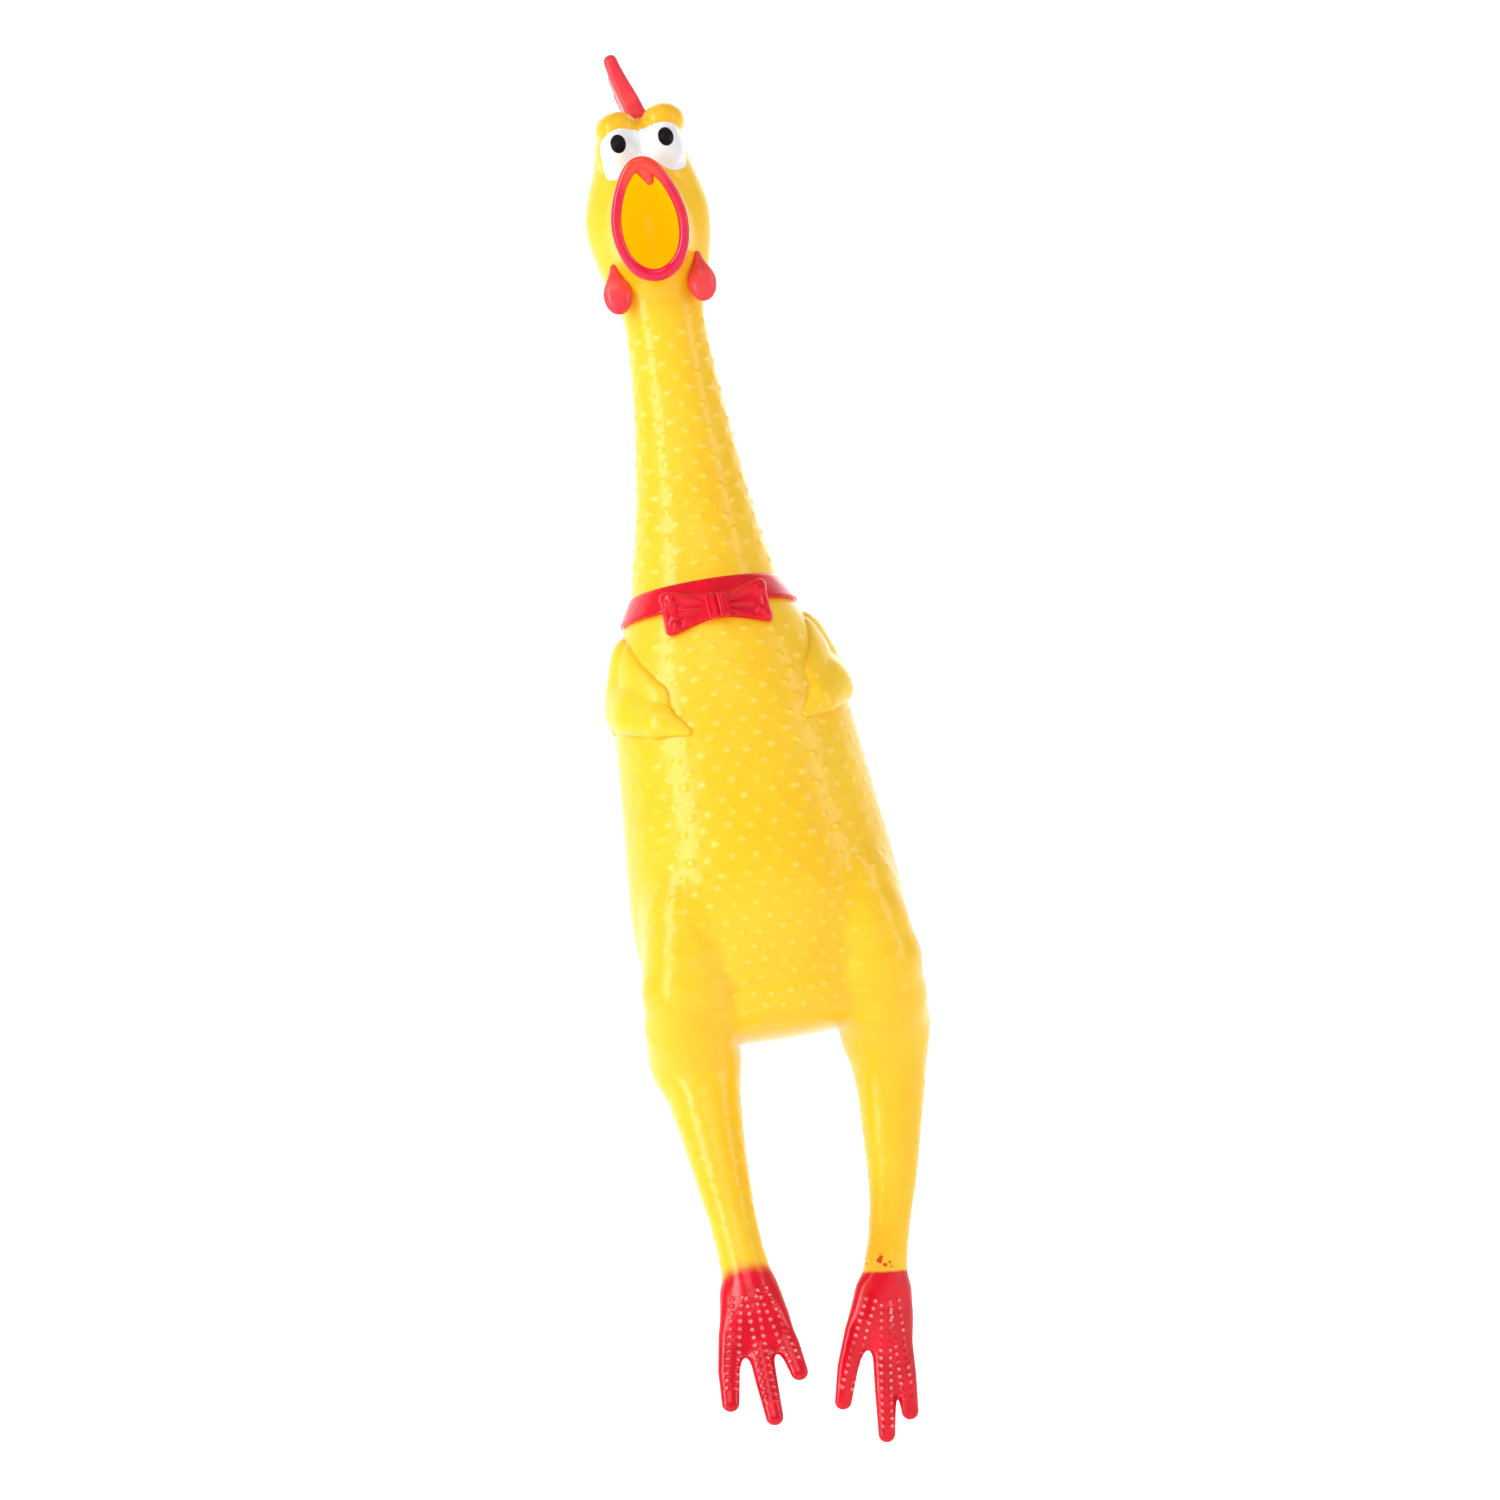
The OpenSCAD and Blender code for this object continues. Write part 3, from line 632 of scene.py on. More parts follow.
def refine(rest, points, normals, quads):
    """Splits every quad of a skin piece into four and settles the new points. Its border stays as it was."""
    ends = np.sort(np.concatenate([quads[:, [a, (a + 1) % 4]] for a in range(4)]), axis=1)
    edges, inverse = np.unique(ends, axis=0, return_inverse=True)
    inverse = inverse.reshape(4, -1)
    once = np.bincount(inverse.ravel(), minlength=len(edges)) == 1
    on_border = np.zeros(len(rest), bool)
    on_border[edges[once].ravel()] = True
    fixed = np.concatenate([on_border, once, np.zeros(len(quads), bool)])
    spread = [np.concatenate([v, v[edges].mean(1), v[quads].mean(1)]) for v in (rest, points, normals)]
    rest, points, normals = spread
    free = ~fixed
    rest[free], smooth = settle(skin_field, rest[free], 2)
    points[free] = rest[free] + smooth * relief(rest[free], smooth)[:, None]
    middle = inverse + len(on_border)
    centre = np.arange(len(quads)) + len(on_border) + len(edges)
    quads = np.concatenate([np.stack([quads[:, a], middle[a], centre, middle[a - 1]], 1) for a in range(4)])
    fresh = vertex_normals(points, quads)
    normals[free] = fresh[free]
    return rest, points, normals, quads


def skin_marks(rest, smooth):
    """Numbers that the skin's materials read at each point."""
    q = turned(rest)
    marks = {"rest": rest, "nub": np.clip(nub_height(rest) / NUB_H, 0, 1)}
    # Painted shade: how closely nearby skin crowds each point, used to darken creases
    close = [np.clip(1 - skin_field(rest + smooth * reach) / reach, 0, 1) for reach in (2.0, 5.0)]
    marks["cavity"] = np.clip(0.5 * (close[0] + close[1]), 0, 1)
    marks["mouth"] = (1 - smooth_step(throat_field(q), 0.25, 0.8)) * (rest[:, 2] > 140)
    paint = np.full(len(rest), -50.0)
    flecks = np.zeros(len(rest))
    for side, leg in LEGS.items():
        own = beside(rest, side) & (rest[:, 2] < -90)
        d = (-leg.local(rest)[:, 2] - PAINT_D[side]) * PAINT_EDGE[side]
        paint = np.where(own, d, paint)
        if side == "right":
            flecks = np.where(own, smooth_step(d, -12, -7) * (1 - smooth_step(d, -2.5, -1)), flecks)
    marks["bead"] = np.clip((relief(rest, smooth) - nub_height(rest)) / BEAD_H, 0, 1)
    marks["paint"] = paint
    marks["flecks"] = flecks
    return marks


def build_skin():
    """Every skin piece as {name: object}."""
    points, quads = mesh_from_field(skin_field, (-46, -58, -190), (46, 42, 208), SKIN_STEP)
    rest, smooth = settle(skin_field, points)
    points = rest + smooth * relief(rest, smooth)[:, None]
    normals = vertex_normals(points, quads)
    pieces = {}
    for name, mask in skin_masks(rest[quads].mean(1)).items():
        used, faces = np.unique(quads[mask], return_inverse=True)
        part = rest[used], points[used], normals[used], faces.reshape(-1, 4)
        if name.startswith(FINE_PIECES):
            part = refine(*part)
        base, shown, shading, faces = part
        marks = skin_marks(base, gradient_direction(skin_field, base))
        pieces[name] = make_object(name, shown, faces, shading, **marks)
    return pieces


def gradient_direction(field, p):
    g = gradient(field, p)
    return g / np.maximum(np.linalg.norm(g, axis=1), 1e-9)[:, None]


# ---------------------------------------------------------------- small pieces

def build_field(name, field, low, high, step=TRIM_STEP, **extra):
    """A closed piece from its own field, with its rest place stored for the materials."""
    points, quads = mesh_from_field(field, low, high, step)
    points, _ = settle(field, points)
    marks = {key: make(points) for key, make in extra.items()}
    return make_object(name, points, quads, vertex_normals(points, quads), rest=points, **marks)


def turn_about_z(p, degrees):
    a = math.radians(degrees)
    c, s = math.cos(a), math.sin(a)
    return np.stack([c * p[:, 0] - s * p[:, 1], s * p[:, 0] + c * p[:, 1], p[:, 2]], 1)


def to_head(p):
    """Points in the head's own frame, wherever they are."""
    return turn_about_z(p, HEAD_TURN)


def from_head(q):
    return turn_about_z(q, -HEAD_TURN)


COMB_Z = joint_at("comb_flop")[2]
COMB_LEAN = 13.0
COMB_EDGE = 1.7       # radius of the blade's edge
COMB_LOBES = (
    ((-1.2, 2), (-2.6, 17.4), 3.4, 2.6), ((2.6, 3), (4.2, 14.6), 3.4, 2.5), ((7, 2), (10.2, 10.6), 3.4, 2.3),
    ((10, 1.5), (13.4, 5.6), 2.8, 2.1)
)


def comb_frame(p):
    """Thickness, length and height of points in the comb's leaning frame."""
    q = to_head(p)
    a = math.radians(COMB_LEAN)
    c, s = math.cos(a), math.sin(a)
    x, z = q[:, 0], q[:, 2] - COMB_Z
    x = x - 2.0 * (1 - smooth_step(z, 0, 20))
    return c * x + s * z, q[:, 1], -s * x + c * z


def comb_field(p):
    t, u, h = comb_frame(p)
    flat = np.stack([u, h], 1)
    d = None
    for a, b, ra, rb in COMB_LOBES + (((-1.5, 0), (10.5, 0), 2.9, 2.9),):
        a, b = np.array(a), np.array(b)
        pa, ba = flat - a, b - a
        k = np.clip(pa @ ba / (ba @ ba), 0, 1)
        lobe = np.linalg.norm(pa - k[:, None] * ba, axis=1) - (ra + (rb - ra) * k)
        d = lobe if d is None else blend_min(d, lobe, 1.4)
    bend = t - 1.0 * (np.clip(h, 0, 20) / 20) ** 2
    half = 2.85 - 0.9 * smooth_step(h, 4, 21)
    side = np.abs(bend) - half
    out = rounded_max(d, side, COMB_EDGE)
    root = np.maximum(np.hypot(t, h) - 2.85, np.maximum(-3.5 - u, u - 13.6))
    return blend_min(out, root, 0.8)


def wattle_field(side):
    s = SIDES[side]
    def field(p):
        q = to_head(p)
        body = ellipsoid(q, (s * 12.2, -10.9, 151.4), (4.0, 2.7, 5.2))
        neck = capsule(q, (s * 12.0, -10.3, 159.8), (s * 12.2, -10.8, 153), 1.1, 2.9, 0.8)
        return blend_min(body, neck, 1.6)
    return field


# Ridges of the folded wing: ends as [degrees in front of the side, height], half-widths and heights
WING_RIDGES = (
    ((7, 49.6), (3, 42), 5.8, 7.6, 3.1, 3.2),
    ((-9, 46), (-11, 35), 6.0, 6.5, 2.2, 2.4),
    ((1, 37.6), (24, 33.8), 7.2, 6.9, 3.3, 3.8),
    ((24, 33.8), (45, 28.8), 6.9, 5.0, 3.8, 3.2),
    ((45, 28.8), (60, 24.2), 5.0, 1.4, 3.2, 1.2),
    ((15, 47), (42, 34.5), 6.2, 5.4, 1.9, 2.0),
)
WING_UNROLL = 31.0     # radius at which the wing's angles are unrolled
WING_SINK = 1.0
WING_REACH = {"left": 1.0, "right": 0.92}


def wing_height(p, side):
    """How far the wing stands above the torso, negative outside its outline."""
    u = -np.degrees(np.arctan2(p[:, 1], p[:, 0] * SIDES[side])) / WING_REACH[side]
    flat = np.stack([np.radians(u) * WING_UNROLL, p[:, 2]], 1)
    best = np.full(len(p), -3.0)
    for (u0, z0), (u1, z1), w0, w1, h0, h1 in WING_RIDGES:
        a = np.array([math.radians(u0) * WING_UNROLL, z0])
        b = np.array([math.radians(u1) * WING_UNROLL, z1])
        pa, ba = flat - a, b - a
        k = np.clip(pa @ ba / (ba @ ba), 0, 1)
        away = np.linalg.norm(pa - k[:, None] * ba, axis=1) / (w0 + (w1 - w0) * k)
        h = h0 + (h1 - h0) * k
        bump = np.where(away < 1, h * np.sqrt(np.clip(1 - away ** 2, 0, 1)), -3 * (away - 1))
        best = blend_max(best, bump, 1.1)
    return best


def wing_field(side):
    def field(p):
        p = straight(p)
        h = body_loft(p)
        return np.maximum(h - wing_height(p, side), -WING_SINK - h)
    return field


COLLAR_Z, COLLAR_HALF_H = 62.6, 4.0


def collar_field(p):
    p = straight(p)
    r, z = np.hypot(p[:, 0], p[:, 1]), p[:, 2]
    outer = 21.4 + 0.58 * (66.6 - z)
    return rounded_max(np.abs(z - COLLAR_Z) - COLLAR_HALF_H, r - outer, 1.0)


BOW_Z = 57.9
BOW_HALF_W, BOW_HALF_H, BOW_PINCH = 15.7, 6.5, 3.0


def bow_shape(x, z):
    """Distance outside the bow's outline and its relief at that place, in mm."""
    u = np.clip(x / BOW_HALF_W, -1, 1)
    half = BOW_HALF_H - BOW_PINCH * np.cos(0.5 * math.pi * u) ** 1.5
    v = (z - BOW_Z) / half
    slant = BOW_HALF_W - 0.7 * (1 - np.clip(np.abs(v), 0, 1) ** 2)
    out = blend_max(np.abs(z - BOW_Z) - half, np.abs(x) - slant, 3.0)
    angle = np.arctan2(z - BOW_Z, np.abs(x) + 0.5)
    folds = 0.32 * np.cos(angle * 17) * smooth_step(np.abs(x), 2.6, 4.6) * (1 - smooth_step(np.abs(x), 9, 12.5))
    swell = 0.35 * np.exp(-((np.abs(x) - 12.0) / 2.4) ** 2)
    for lump_z in (-3.4, 3.2):
        swell += 1.15 * np.exp(-((np.abs(x) - 12.6) ** 2 + (z - BOW_Z - lump_z) ** 2) / 1.5 ** 2)
    rim = 0.32 * np.exp(-((out + 0.8) / 0.5) ** 2)
    return out, folds + swell + rim


def bow_field(p):
    x, y, z = straight(p).T
    out, height = bow_shape(x, z)
    outer = 25.6 + height
    radius = np.hypot(x * 0.86, y)
    face = rounded_max(out, radius - outer, 0.6)
    inner = 21.5 - radius
    return np.maximum(np.maximum(face, inner), y + 12)


def knot_field(p):
    x, y, z = straight(p).T
    groove = 0.35 * np.exp(-(x / 0.35) ** 2) + 0.3 * np.cos(x * 3.3) * 0.5
    shell = np.hypot(x, y) - (27.7 - groove)
    out = np.hypot(np.maximum(np.abs(x) - 2.2, 0), np.maximum(np.abs(z - BOW_Z) - 2.5, 0)) - 1.1
    return np.maximum(rounded_max(out, shell, 1.0), 24.5 - np.hypot(x, y))


def mouth_curve(a, w, h):
    """A point on the mouth's outline at angle a from its top, as columns x and z."""
    v = np.cos(a)
    arch = np.where(v > 0, 1.62, 2.0)
    half = np.sqrt(np.clip(1 - np.abs(v) ** arch, 0, 1)) * (1 - EGG * v)
    return np.sign(np.sin(a)) * half * w, MOUTH_Z + v * h


def build_rim():
    """The glossy bead around the mouth, thicker along the top lip and at the chin."""
    n, m = 220, 28
    a = np.linspace(0, 2 * math.pi, n, endpoint=False)
    a = a - 0.18 * np.sin(2 * a)
    x, z = mouth_curve(a, MOUTH_W + 0.1, MOUTH_H - 0.1)
    for _ in range(2):
        x = (np.roll(x, 1) + 2 * x + np.roll(x, -1)) / 4
        z = (np.roll(z, 1) + 2 * z + np.roll(z, -1)) / 4
    centre = np.stack([x, mouth_front(z), z], 1)
    along = np.roll(centre, -1, 0) - np.roll(centre, 1, 0)
    along /= np.linalg.norm(along, axis=1)[:, None]
    front = np.array([0, -1, -MOUTH_SLOPE]) / math.hypot(1, MOUTH_SLOPE)
    outward = np.cross(along, front)
    outward /= np.linalg.norm(outward, axis=1)[:, None]
    if (outward[:, 2] * (z - MOUTH_Z)).sum() < 0:
        outward = -outward
    up = np.cos(a)
    thick = 1.5 + 0.42 * smooth_step(up, 0.55, 1.0) + 0.3 * smooth_step(-up, 0.6, 1.0)
    deep = 1.45 + 0.25 * smooth_step(up, 0.6, 1.0)
    b = np.linspace(0, 2 * math.pi, m, endpoint=False)
    ring = (
        centre[:, None]
        + outward[:, None] * (np.cos(b)[None, :, None] * thick[:, None, None])
        + front * (np.sin(b)[None, :, None] * deep[:, None, None])
    )
    points = from_head(ring.reshape(-1, 3))
    i, j = np.meshgrid(np.arange(n), np.arange(m), indexing="ij")
    i2, j2 = (i + 1) % n, (j + 1) % m
    quads = np.stack([i * m + j, i2 * m + j, i2 * m + j2, i * m + j2], -1).reshape(-1, 4)
    normals = vertex_normals(points, quads)
    if ((points - np.repeat(from_head(centre), m, 0)) * normals).sum() < 0:
        quads = quads[:, ::-1]
        normals = -normals
    lip = np.repeat(smooth_step(up, 0.45, 0.95), m)
    return make_object("beak_rim_bead", points, quads, normals, rest=points, lip=lip)


def hook_field(p):
    """Small point hanging inside the top of the upper beak."""
    q = to_head(p)
    top_z = MOUTH_Z + MOUTH_H - 1.2
    y = mouth_front(top_z)
    return capsule(q, (1.0, y + 1.4, top_z), (1.9, y + 1.6, top_z - 3.9), 3.0, 1.25, 0.8)


def skin_depth(x, z, y_from=-34.0, y_to=-2.0):
    """Where a line along +Y first meets the head's skin, in the head's own frame."""
    def value(y):
        return skin_field(from_head(np.stack([x, y, z], 1)))
    scan = np.linspace(y_from, y_to, 90)
    found = np.full(len(x), y_to)
    open_ = np.ones(len(x), bool)
    for y in scan:
        hit = open_ & (value(np.full(len(x), y)) < 0)
        found[hit] = y
        open_ &= ~hit
    lo, hi = found - (scan[1] - scan[0]), found.copy()
    for _ in range(14):
        mid = 0.5 * (lo + hi)
        inside = value(mid) < 0
        hi = np.where(inside, mid, hi)
        lo = np.where(inside, lo, mid)
    return 0.5 * (lo + hi)


def patch_object(name, outline, centre, lift, dome, rings=26):
    """A thin domed patch laid on the face. outline is closed, in the head's x and z."""
    n = len(outline)
    centre = np.array(centre)
    share = np.linspace(0, 1, rings + 1)[1:] ** 0.8
    flat = np.concatenate([[centre], *[centre + (outline - centre) * s for s in share], outline])
    grow = np.concatenate([[0], np.repeat(share, n), np.ones(n)])
    y = skin_depth(flat[:, 0], flat[:, 1]) - lift - dome * (1 - grow ** 2)
    y[-n:] += 0.5
    points = from_head(np.stack([flat[:, 0], y, flat[:, 1]], 1))
    j = np.arange(n)
    k = (j + 1) % n
    faces = [(0, 1 + a, 1 + b) for a, b in zip(j, k)]
    for r in range(rings):
        a, b = 1 + r * n, 1 + (r + 1) * n
        faces += [tuple(f) for f in np.stack([a + j, b + j, b + k, a + k], 1)]
    mesh = bpy.data.meshes.new(name)
    mesh.from_pydata([tuple(v) for v in points * MM], [], faces)
    mesh.update()
    if sum(f.normal.y for f in mesh.polygons) > 0:
        mesh.flip_normals()
    return show(name, mesh, {"rest": points})


EYE_OUTLINE = (
    (0, 198.0), (2.2, 199.1), (6.2, 199.6), (10.1, 199.0), (12.0, 197.2), (12.6, 194.3), (12.4, 190.4),
    (12.0, 187.6), (10.9, 186.5), (8.4, 185.9), (6.2, 186.6), (3.6, 188.8), (1.4, 190.4), (0, 190.7)
)


EYE_DROP, EYE_SHIFT = -1.0, 1.2     # how far both eyes are moved down and to the viewer's right


def closed_curve(points, per_side=9):
    """A smooth closed curve through points."""
    p = np.array(points, float)
    out = []
    for i in range(len(p)):
        a, b, c, d = p[i - 1], p[i], p[(i + 1) % len(p)], p[(i + 2) % len(p)]
        for t in np.arange(per_side) / per_side:
            out.append(
                0.5 * (2 * b + (c - a) * t + (2 * a - 5 * b + 4 * c - d) * t ** 2
                       + (3 * b - a - 3 * c + d) * t ** 3)
            )
    return np.array(out)


def eye_outline(side):
    s = SIDES[side]
    shape = closed_curve(EYE_OUTLINE)
    shape[:, 0] = np.maximum(shape[:, 0], -0.06)
    if s < 0:
        shape[:, 0] *= -0.92
        shape[:, 1] -= 0.6 * smooth_step(-shape[:, 0], 5, 10)
    shape[:, 0] += EYE_SHIFT
    shape[:, 1] += EYE_DROP
    return shape


PUPIL = {"left": (-5.0, 195.1), "right": (8.7, 195.1)}
PUPIL_R = (2.2, 2.85)


def pupil_outline(side):
    a = np.linspace(0, 2 * math.pi, 48, endpoint=False)
    x, z = PUPIL[side]
    return np.stack([x + PUPIL_R[0] * np.cos(a), z + EYE_DROP + PUPIL_R[1] * np.sin(a)], 1)


# ---------------------------------------------------------------- materials

class Shader:
    """A procedural material. Every method adds a node and returns its output."""

    def __init__(self, name, **sockets):
        self.mat = bpy.data.materials.new(name)
        self.mat.use_nodes = True
        self.tree = self.mat.node_tree
        self.surface = self.tree.nodes["Principled BSDF"]
        for key, value in sockets.items():
            self.surface.inputs[key.replace("_", " ")].default_value = value

    def put(self, key, socket):
        self.tree.links.new(socket, self.surface.inputs[key])

    def node(self, kind, inputs=(), **props):
        node = self.tree.nodes.new(kind)
        for key, value in props.items():
            setattr(node, key, value)
        for key, value in dict(inputs).items():
            if isinstance(value, bpy.types.NodeSocket):
                self.tree.links.new(value, node.inputs[key])
            else:
                node.inputs[key].default_value = value
        return node

    def mark(self, name, vector=False):
        return self.node("ShaderNodeAttribute", attribute_name=name).outputs["Vector" if vector else "Fac"]

    def object_mm(self):
        place = self.node("ShaderNodeTexCoord").outputs["Object"]
        return self.node("ShaderNodeVectorMath", {0: place, "Scale": 1000}, operation="SCALE").outputs[0]

    def noise(self, place, scale, detail=2.0, rough=0.5):
        inputs = {"Vector": place, "Scale": scale, "Detail": detail, "Roughness": rough}
        return self.node("ShaderNodeTexNoise", inputs).outputs["Fac"]

    def spread(self, value, from_min, from_max, to_min=0.0, to_max=1.0, smooth=False):
        names = ("Value", "From Min", "From Max", "To Min", "To Max")
        inputs = dict(zip(names, (value, from_min, from_max, to_min, to_max)))
        kind = "SMOOTHSTEP" if smooth else "LINEAR"
        return self.node("ShaderNodeMapRange", inputs, interpolation_type=kind).outputs["Result"]

    def sum(self, a, b, operation="ADD"):
        return self.node("ShaderNodeMath", {0: a, 1: b}, operation=operation).outputs[0]

    def mix(self, factor, a, b):
        node = self.node("ShaderNodeMix", data_type="RGBA")
        for key, value in (("Factor_Float", factor), ("A_Color", a), ("B_Color", b)):
            socket = next(s for s in node.inputs if s.identifier == key)
            if isinstance(value, bpy.types.NodeSocket):
                self.tree.links.new(value, socket)
            else:
                socket.default_value = value if key == "Factor_Float" else (*value, 1)
        return next(s for s in node.outputs if s.identifier == "Result_Color")

    def bump(self, height, distance, strength=1.0, normal=None):
        inputs = {"Height": height, "Distance": distance * MM, "Strength": strength}
        if normal is not None:
            inputs["Normal"] = normal
        return self.node("ShaderNodeBump", inputs).outputs["Normal"]

    def ripple(self, place, grain, scale, broad_mm, grain_mm):
        """The finish of a moulded face: broad soft waves under a fine grain."""
        broad = self.bump(self.noise(place, scale, 2), broad_mm)
        self.put("Normal", self.bump(grain, grain_mm, 1.0, broad))


YELLOW = (1.0, 0.60, 0.012)
# darker, oranger yellow painted as shade: between the nubs, in creases and where the wings meet the torso
SHADE_YELLOW = (1.0, 0.42, 0.002)
PALE_YELLOW = (1.0, 0.645, 0.028)
# paler yellow painted on the nubs' tops as a highlight
NUB_HIGHLIGHT_YELLOW = (1.0, 0.74, 0.17)
MOUTH_YELLOW = (1.0, 0.52, 0.001)
MOUTH_GLOW = 0.45      # painted glow in the mouth, for light that comes through the thin wall
RED = (0.84, 0.0, 0.020)
DEEP_RED = (0.66, 0.0, 0.014)
PINK_RED = (0.72, 0.0, 0.065)
LIP_RED = (1.0, 0.06, 0.03)
# pale pink painted on the toes' bead tops as highlights
BEAD_HIGHLIGHT_PINK = (0.95, 0.42, 0.42)
CORAL = (1.0, 0.10, 0.085)
DEEP_CORAL = (0.80, 0.02, 0.05)


def vinyl(name, **sockets):
    """Soft squeaky vinyl: glossy, with a little light passing through it."""
    return Shader(
        name, Subsurface_Weight=0.12, Subsurface_Scale=0.004, Subsurface_Radius=(1.0, 0.4, 0.1), IOR=1.47,
        Coat_Weight=0.2, Coat_Roughness=0.1, Specular_IOR_Level=0.35, **sockets
    )


def skin_material():
    m = vinyl("yellow_vinyl_skin")
    place = m.mark("rest", vector=True)
    nub, cavity = m.mark("nub"), m.mark("cavity")
    clouds = m.noise(place, 0.045, 3)
    grain = m.noise(place, 0.9, 4, 0.6)
    colour = m.mix(m.spread(clouds, 0.35, 0.7), YELLOW, PALE_YELLOW)
    # Painted shade: the skin between the nubs is mixed towards the darker yellow
    low = m.spread(nub, 0.0, 0.5, 0.12, 0.0)
    colour = m.mix(low, colour, SHADE_YELLOW)
    # Painted highlight: the nubs' tops are mixed towards a paler yellow
    colour = m.mix(m.spread(nub, 0.4, 0.85, 0, 0.55), colour, NUB_HIGHLIGHT_YELLOW)
    # Painted shade: creases are mixed towards the darker, oranger yellow
    colour = m.mix(m.spread(cavity, 0.06, 0.5, 0, 0.7), colour, SHADE_YELLOW)
    colour = m.mix(m.mark("mouth"), colour, MOUTH_YELLOW)
    ragged = m.sum(m.mark("paint"), m.spread(m.noise(place, 0.4, 2), 0, 1, -0.45, 0.45))
    red = m.spread(ragged, -0.7, 0.7, smooth=True)
    specks = m.spread(m.noise(place, 0.42, 1), 0.63, 0.66, 0, 0.9)
    red = m.sum(red, m.sum(specks, m.mark("flecks"), "MULTIPLY"), "MAXIMUM")
    paint = m.mix(m.spread(m.noise(place, 0.12, 3), 0.35, 0.65), RED, DEEP_RED)
    colour = m.mix(red, colour, paint)
    # Painted highlights: the tops of the toes' beads are mixed towards pale pink in random patches, for the
    # light they would catch
    patches = m.spread(m.noise(place, 0.16, 2), 0.38, 0.62, 0.0, 0.75)
    bead_highlight = m.sum(m.spread(m.mark("bead"), 0.35, 0.7), patches, "MULTIPLY")
    colour = m.mix(bead_highlight, colour, BEAD_HIGHLIGHT_PINK)
    m.put("Base Color", colour)
    # Painted glow: inside the mouth the skin emits its own colour, for light coming through the thin wall
    m.put("Emission Color", colour)
    m.put("Emission Strength", m.sum(m.mark("mouth"), MOUTH_GLOW, "MULTIPLY"))
    rough = m.spread(grain, 0.25, 0.75, 0.27, 0.37)
    glossy = m.sum(rough, m.spread(red, 0, 1, 1.0, 0.62), "MULTIPLY")
    m.put("Roughness", glossy)
    m.ripple(place, grain, 0.16, 0.30, 0.05)
    return m.mat


def plain_yellow_material():
    """The same vinyl on a piece that has neither nubs nor paint."""
    m = vinyl("yellow_vinyl_wing")
    place = m.mark("rest", vector=True)
    clouds = m.noise(place, 0.045, 3)
    grain = m.noise(place, 0.9, 4, 0.6)
    colour = m.mix(m.spread(clouds, 0.35, 0.7), YELLOW, PALE_YELLOW)
    # Painted shade: the wing is darker yellow where it meets the torso
    colour = m.mix(m.spread(m.mark("hollow"), 0, 1, 0, 0.4), colour, SHADE_YELLOW)
    m.put("Base Color", colour)
    m.put("Roughness", m.spread(grain, 0.25, 0.75, 0.27, 0.37))
    m.ripple(place, grain, 0.16, 0.30, 0.05)
    return m.mat


def paint_material(name, main, shade, rough, specular=0.3, coat=0.12, lip=None):
    """Glossy paint. lip is the colour wherever the piece's lip mark is set."""
    m = Shader(name, IOR=1.5, Specular_IOR_Level=specular, Coat_Weight=coat, Coat_Roughness=0.05)
    place = m.mark("rest", vector=True)
    colour = m.mix(m.spread(m.noise(place, 0.14, 3), 0.35, 0.7), main, shade)
    if lip:
        colour = m.mix(m.mark("lip"), colour, lip)
    m.put("Base Color", colour)
    grain = m.noise(place, 1.1, 3)
    m.put("Roughness", m.spread(grain, 0.25, 0.75, rough - 0.04, rough + 0.06))
    m.ripple(place, grain, 0.3, 0.16, 0.02)
    return m.mat


def coral_material():
    m = vinyl("coral_vinyl_flesh")
    place = m.mark("rest", vector=True)
    colour = m.mix(m.spread(m.noise(place, 0.12, 3), 0.35, 0.7), CORAL, DEEP_CORAL)
    colour = m.mix(m.spread(m.mark("rim"), 0, 1, 0, 0.7), colour, DEEP_CORAL)
    m.put("Base Color", colour)
    grain = m.noise(place, 1.0, 4)
    m.put("Roughness", m.spread(grain, 0.25, 0.75, 0.28, 0.42))
    m.ripple(place, grain, 0.35, 0.2, 0.05)
    return m.mat


def moulded_material(name, main, shade, rough):
    """Moulded plastic of the squeaker, on a CAD solid that keeps its own coordinates."""
    m = Shader(name, IOR=1.49)
    place = m.object_mm()
    m.put("Base Color", m.mix(m.spread(m.noise(place, 0.3, 4), 0.3, 0.7), main, shade))
    grain = m.noise(place, 2.2, 3)
    m.put("Roughness", m.spread(grain, 0.25, 0.75, rough - 0.06, rough + 0.08))
    m.put("Normal", m.bump(grain, 0.03))
    return m.mat


def wear(obj, material):
    obj.data.materials.clear()
    obj.data.materials.append(material)


# ---------------------------------------------------------------- assemble

skin_mat = skin_material()
wing_mat = plain_yellow_material()
red_mat = paint_material("red_paint_gloss", RED, DEEP_RED, 0.2)
rim_mat = paint_material("red_paint_rim", PINK_RED, RED, 0.14, coat=0.5, lip=LIP_RED)
coral_mat = coral_material()
white_mat = paint_material("white_paint_eye", (0.90, 0.91, 0.93), (0.80, 0.82, 0.86), 0.22)
black_mat = paint_material(
    "black_paint_pupil", (0.004, 0.004, 0.006), (0.014, 0.008, 0.009), 0.3, specular=0.12, coat=0.0
)


def place(obj, body, slot, material, *nodes):
    wear(obj, material)
    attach(obj, body)
    if nodes:
        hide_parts(*nodes)


def bend(obj, first, second, start, end, slot, *nodes):
    wear(obj, skin_mat)
    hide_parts(*nodes)
    tuple(np.array(start) * MM)
    tuple(np.array(end) * MM)
    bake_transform(obj)


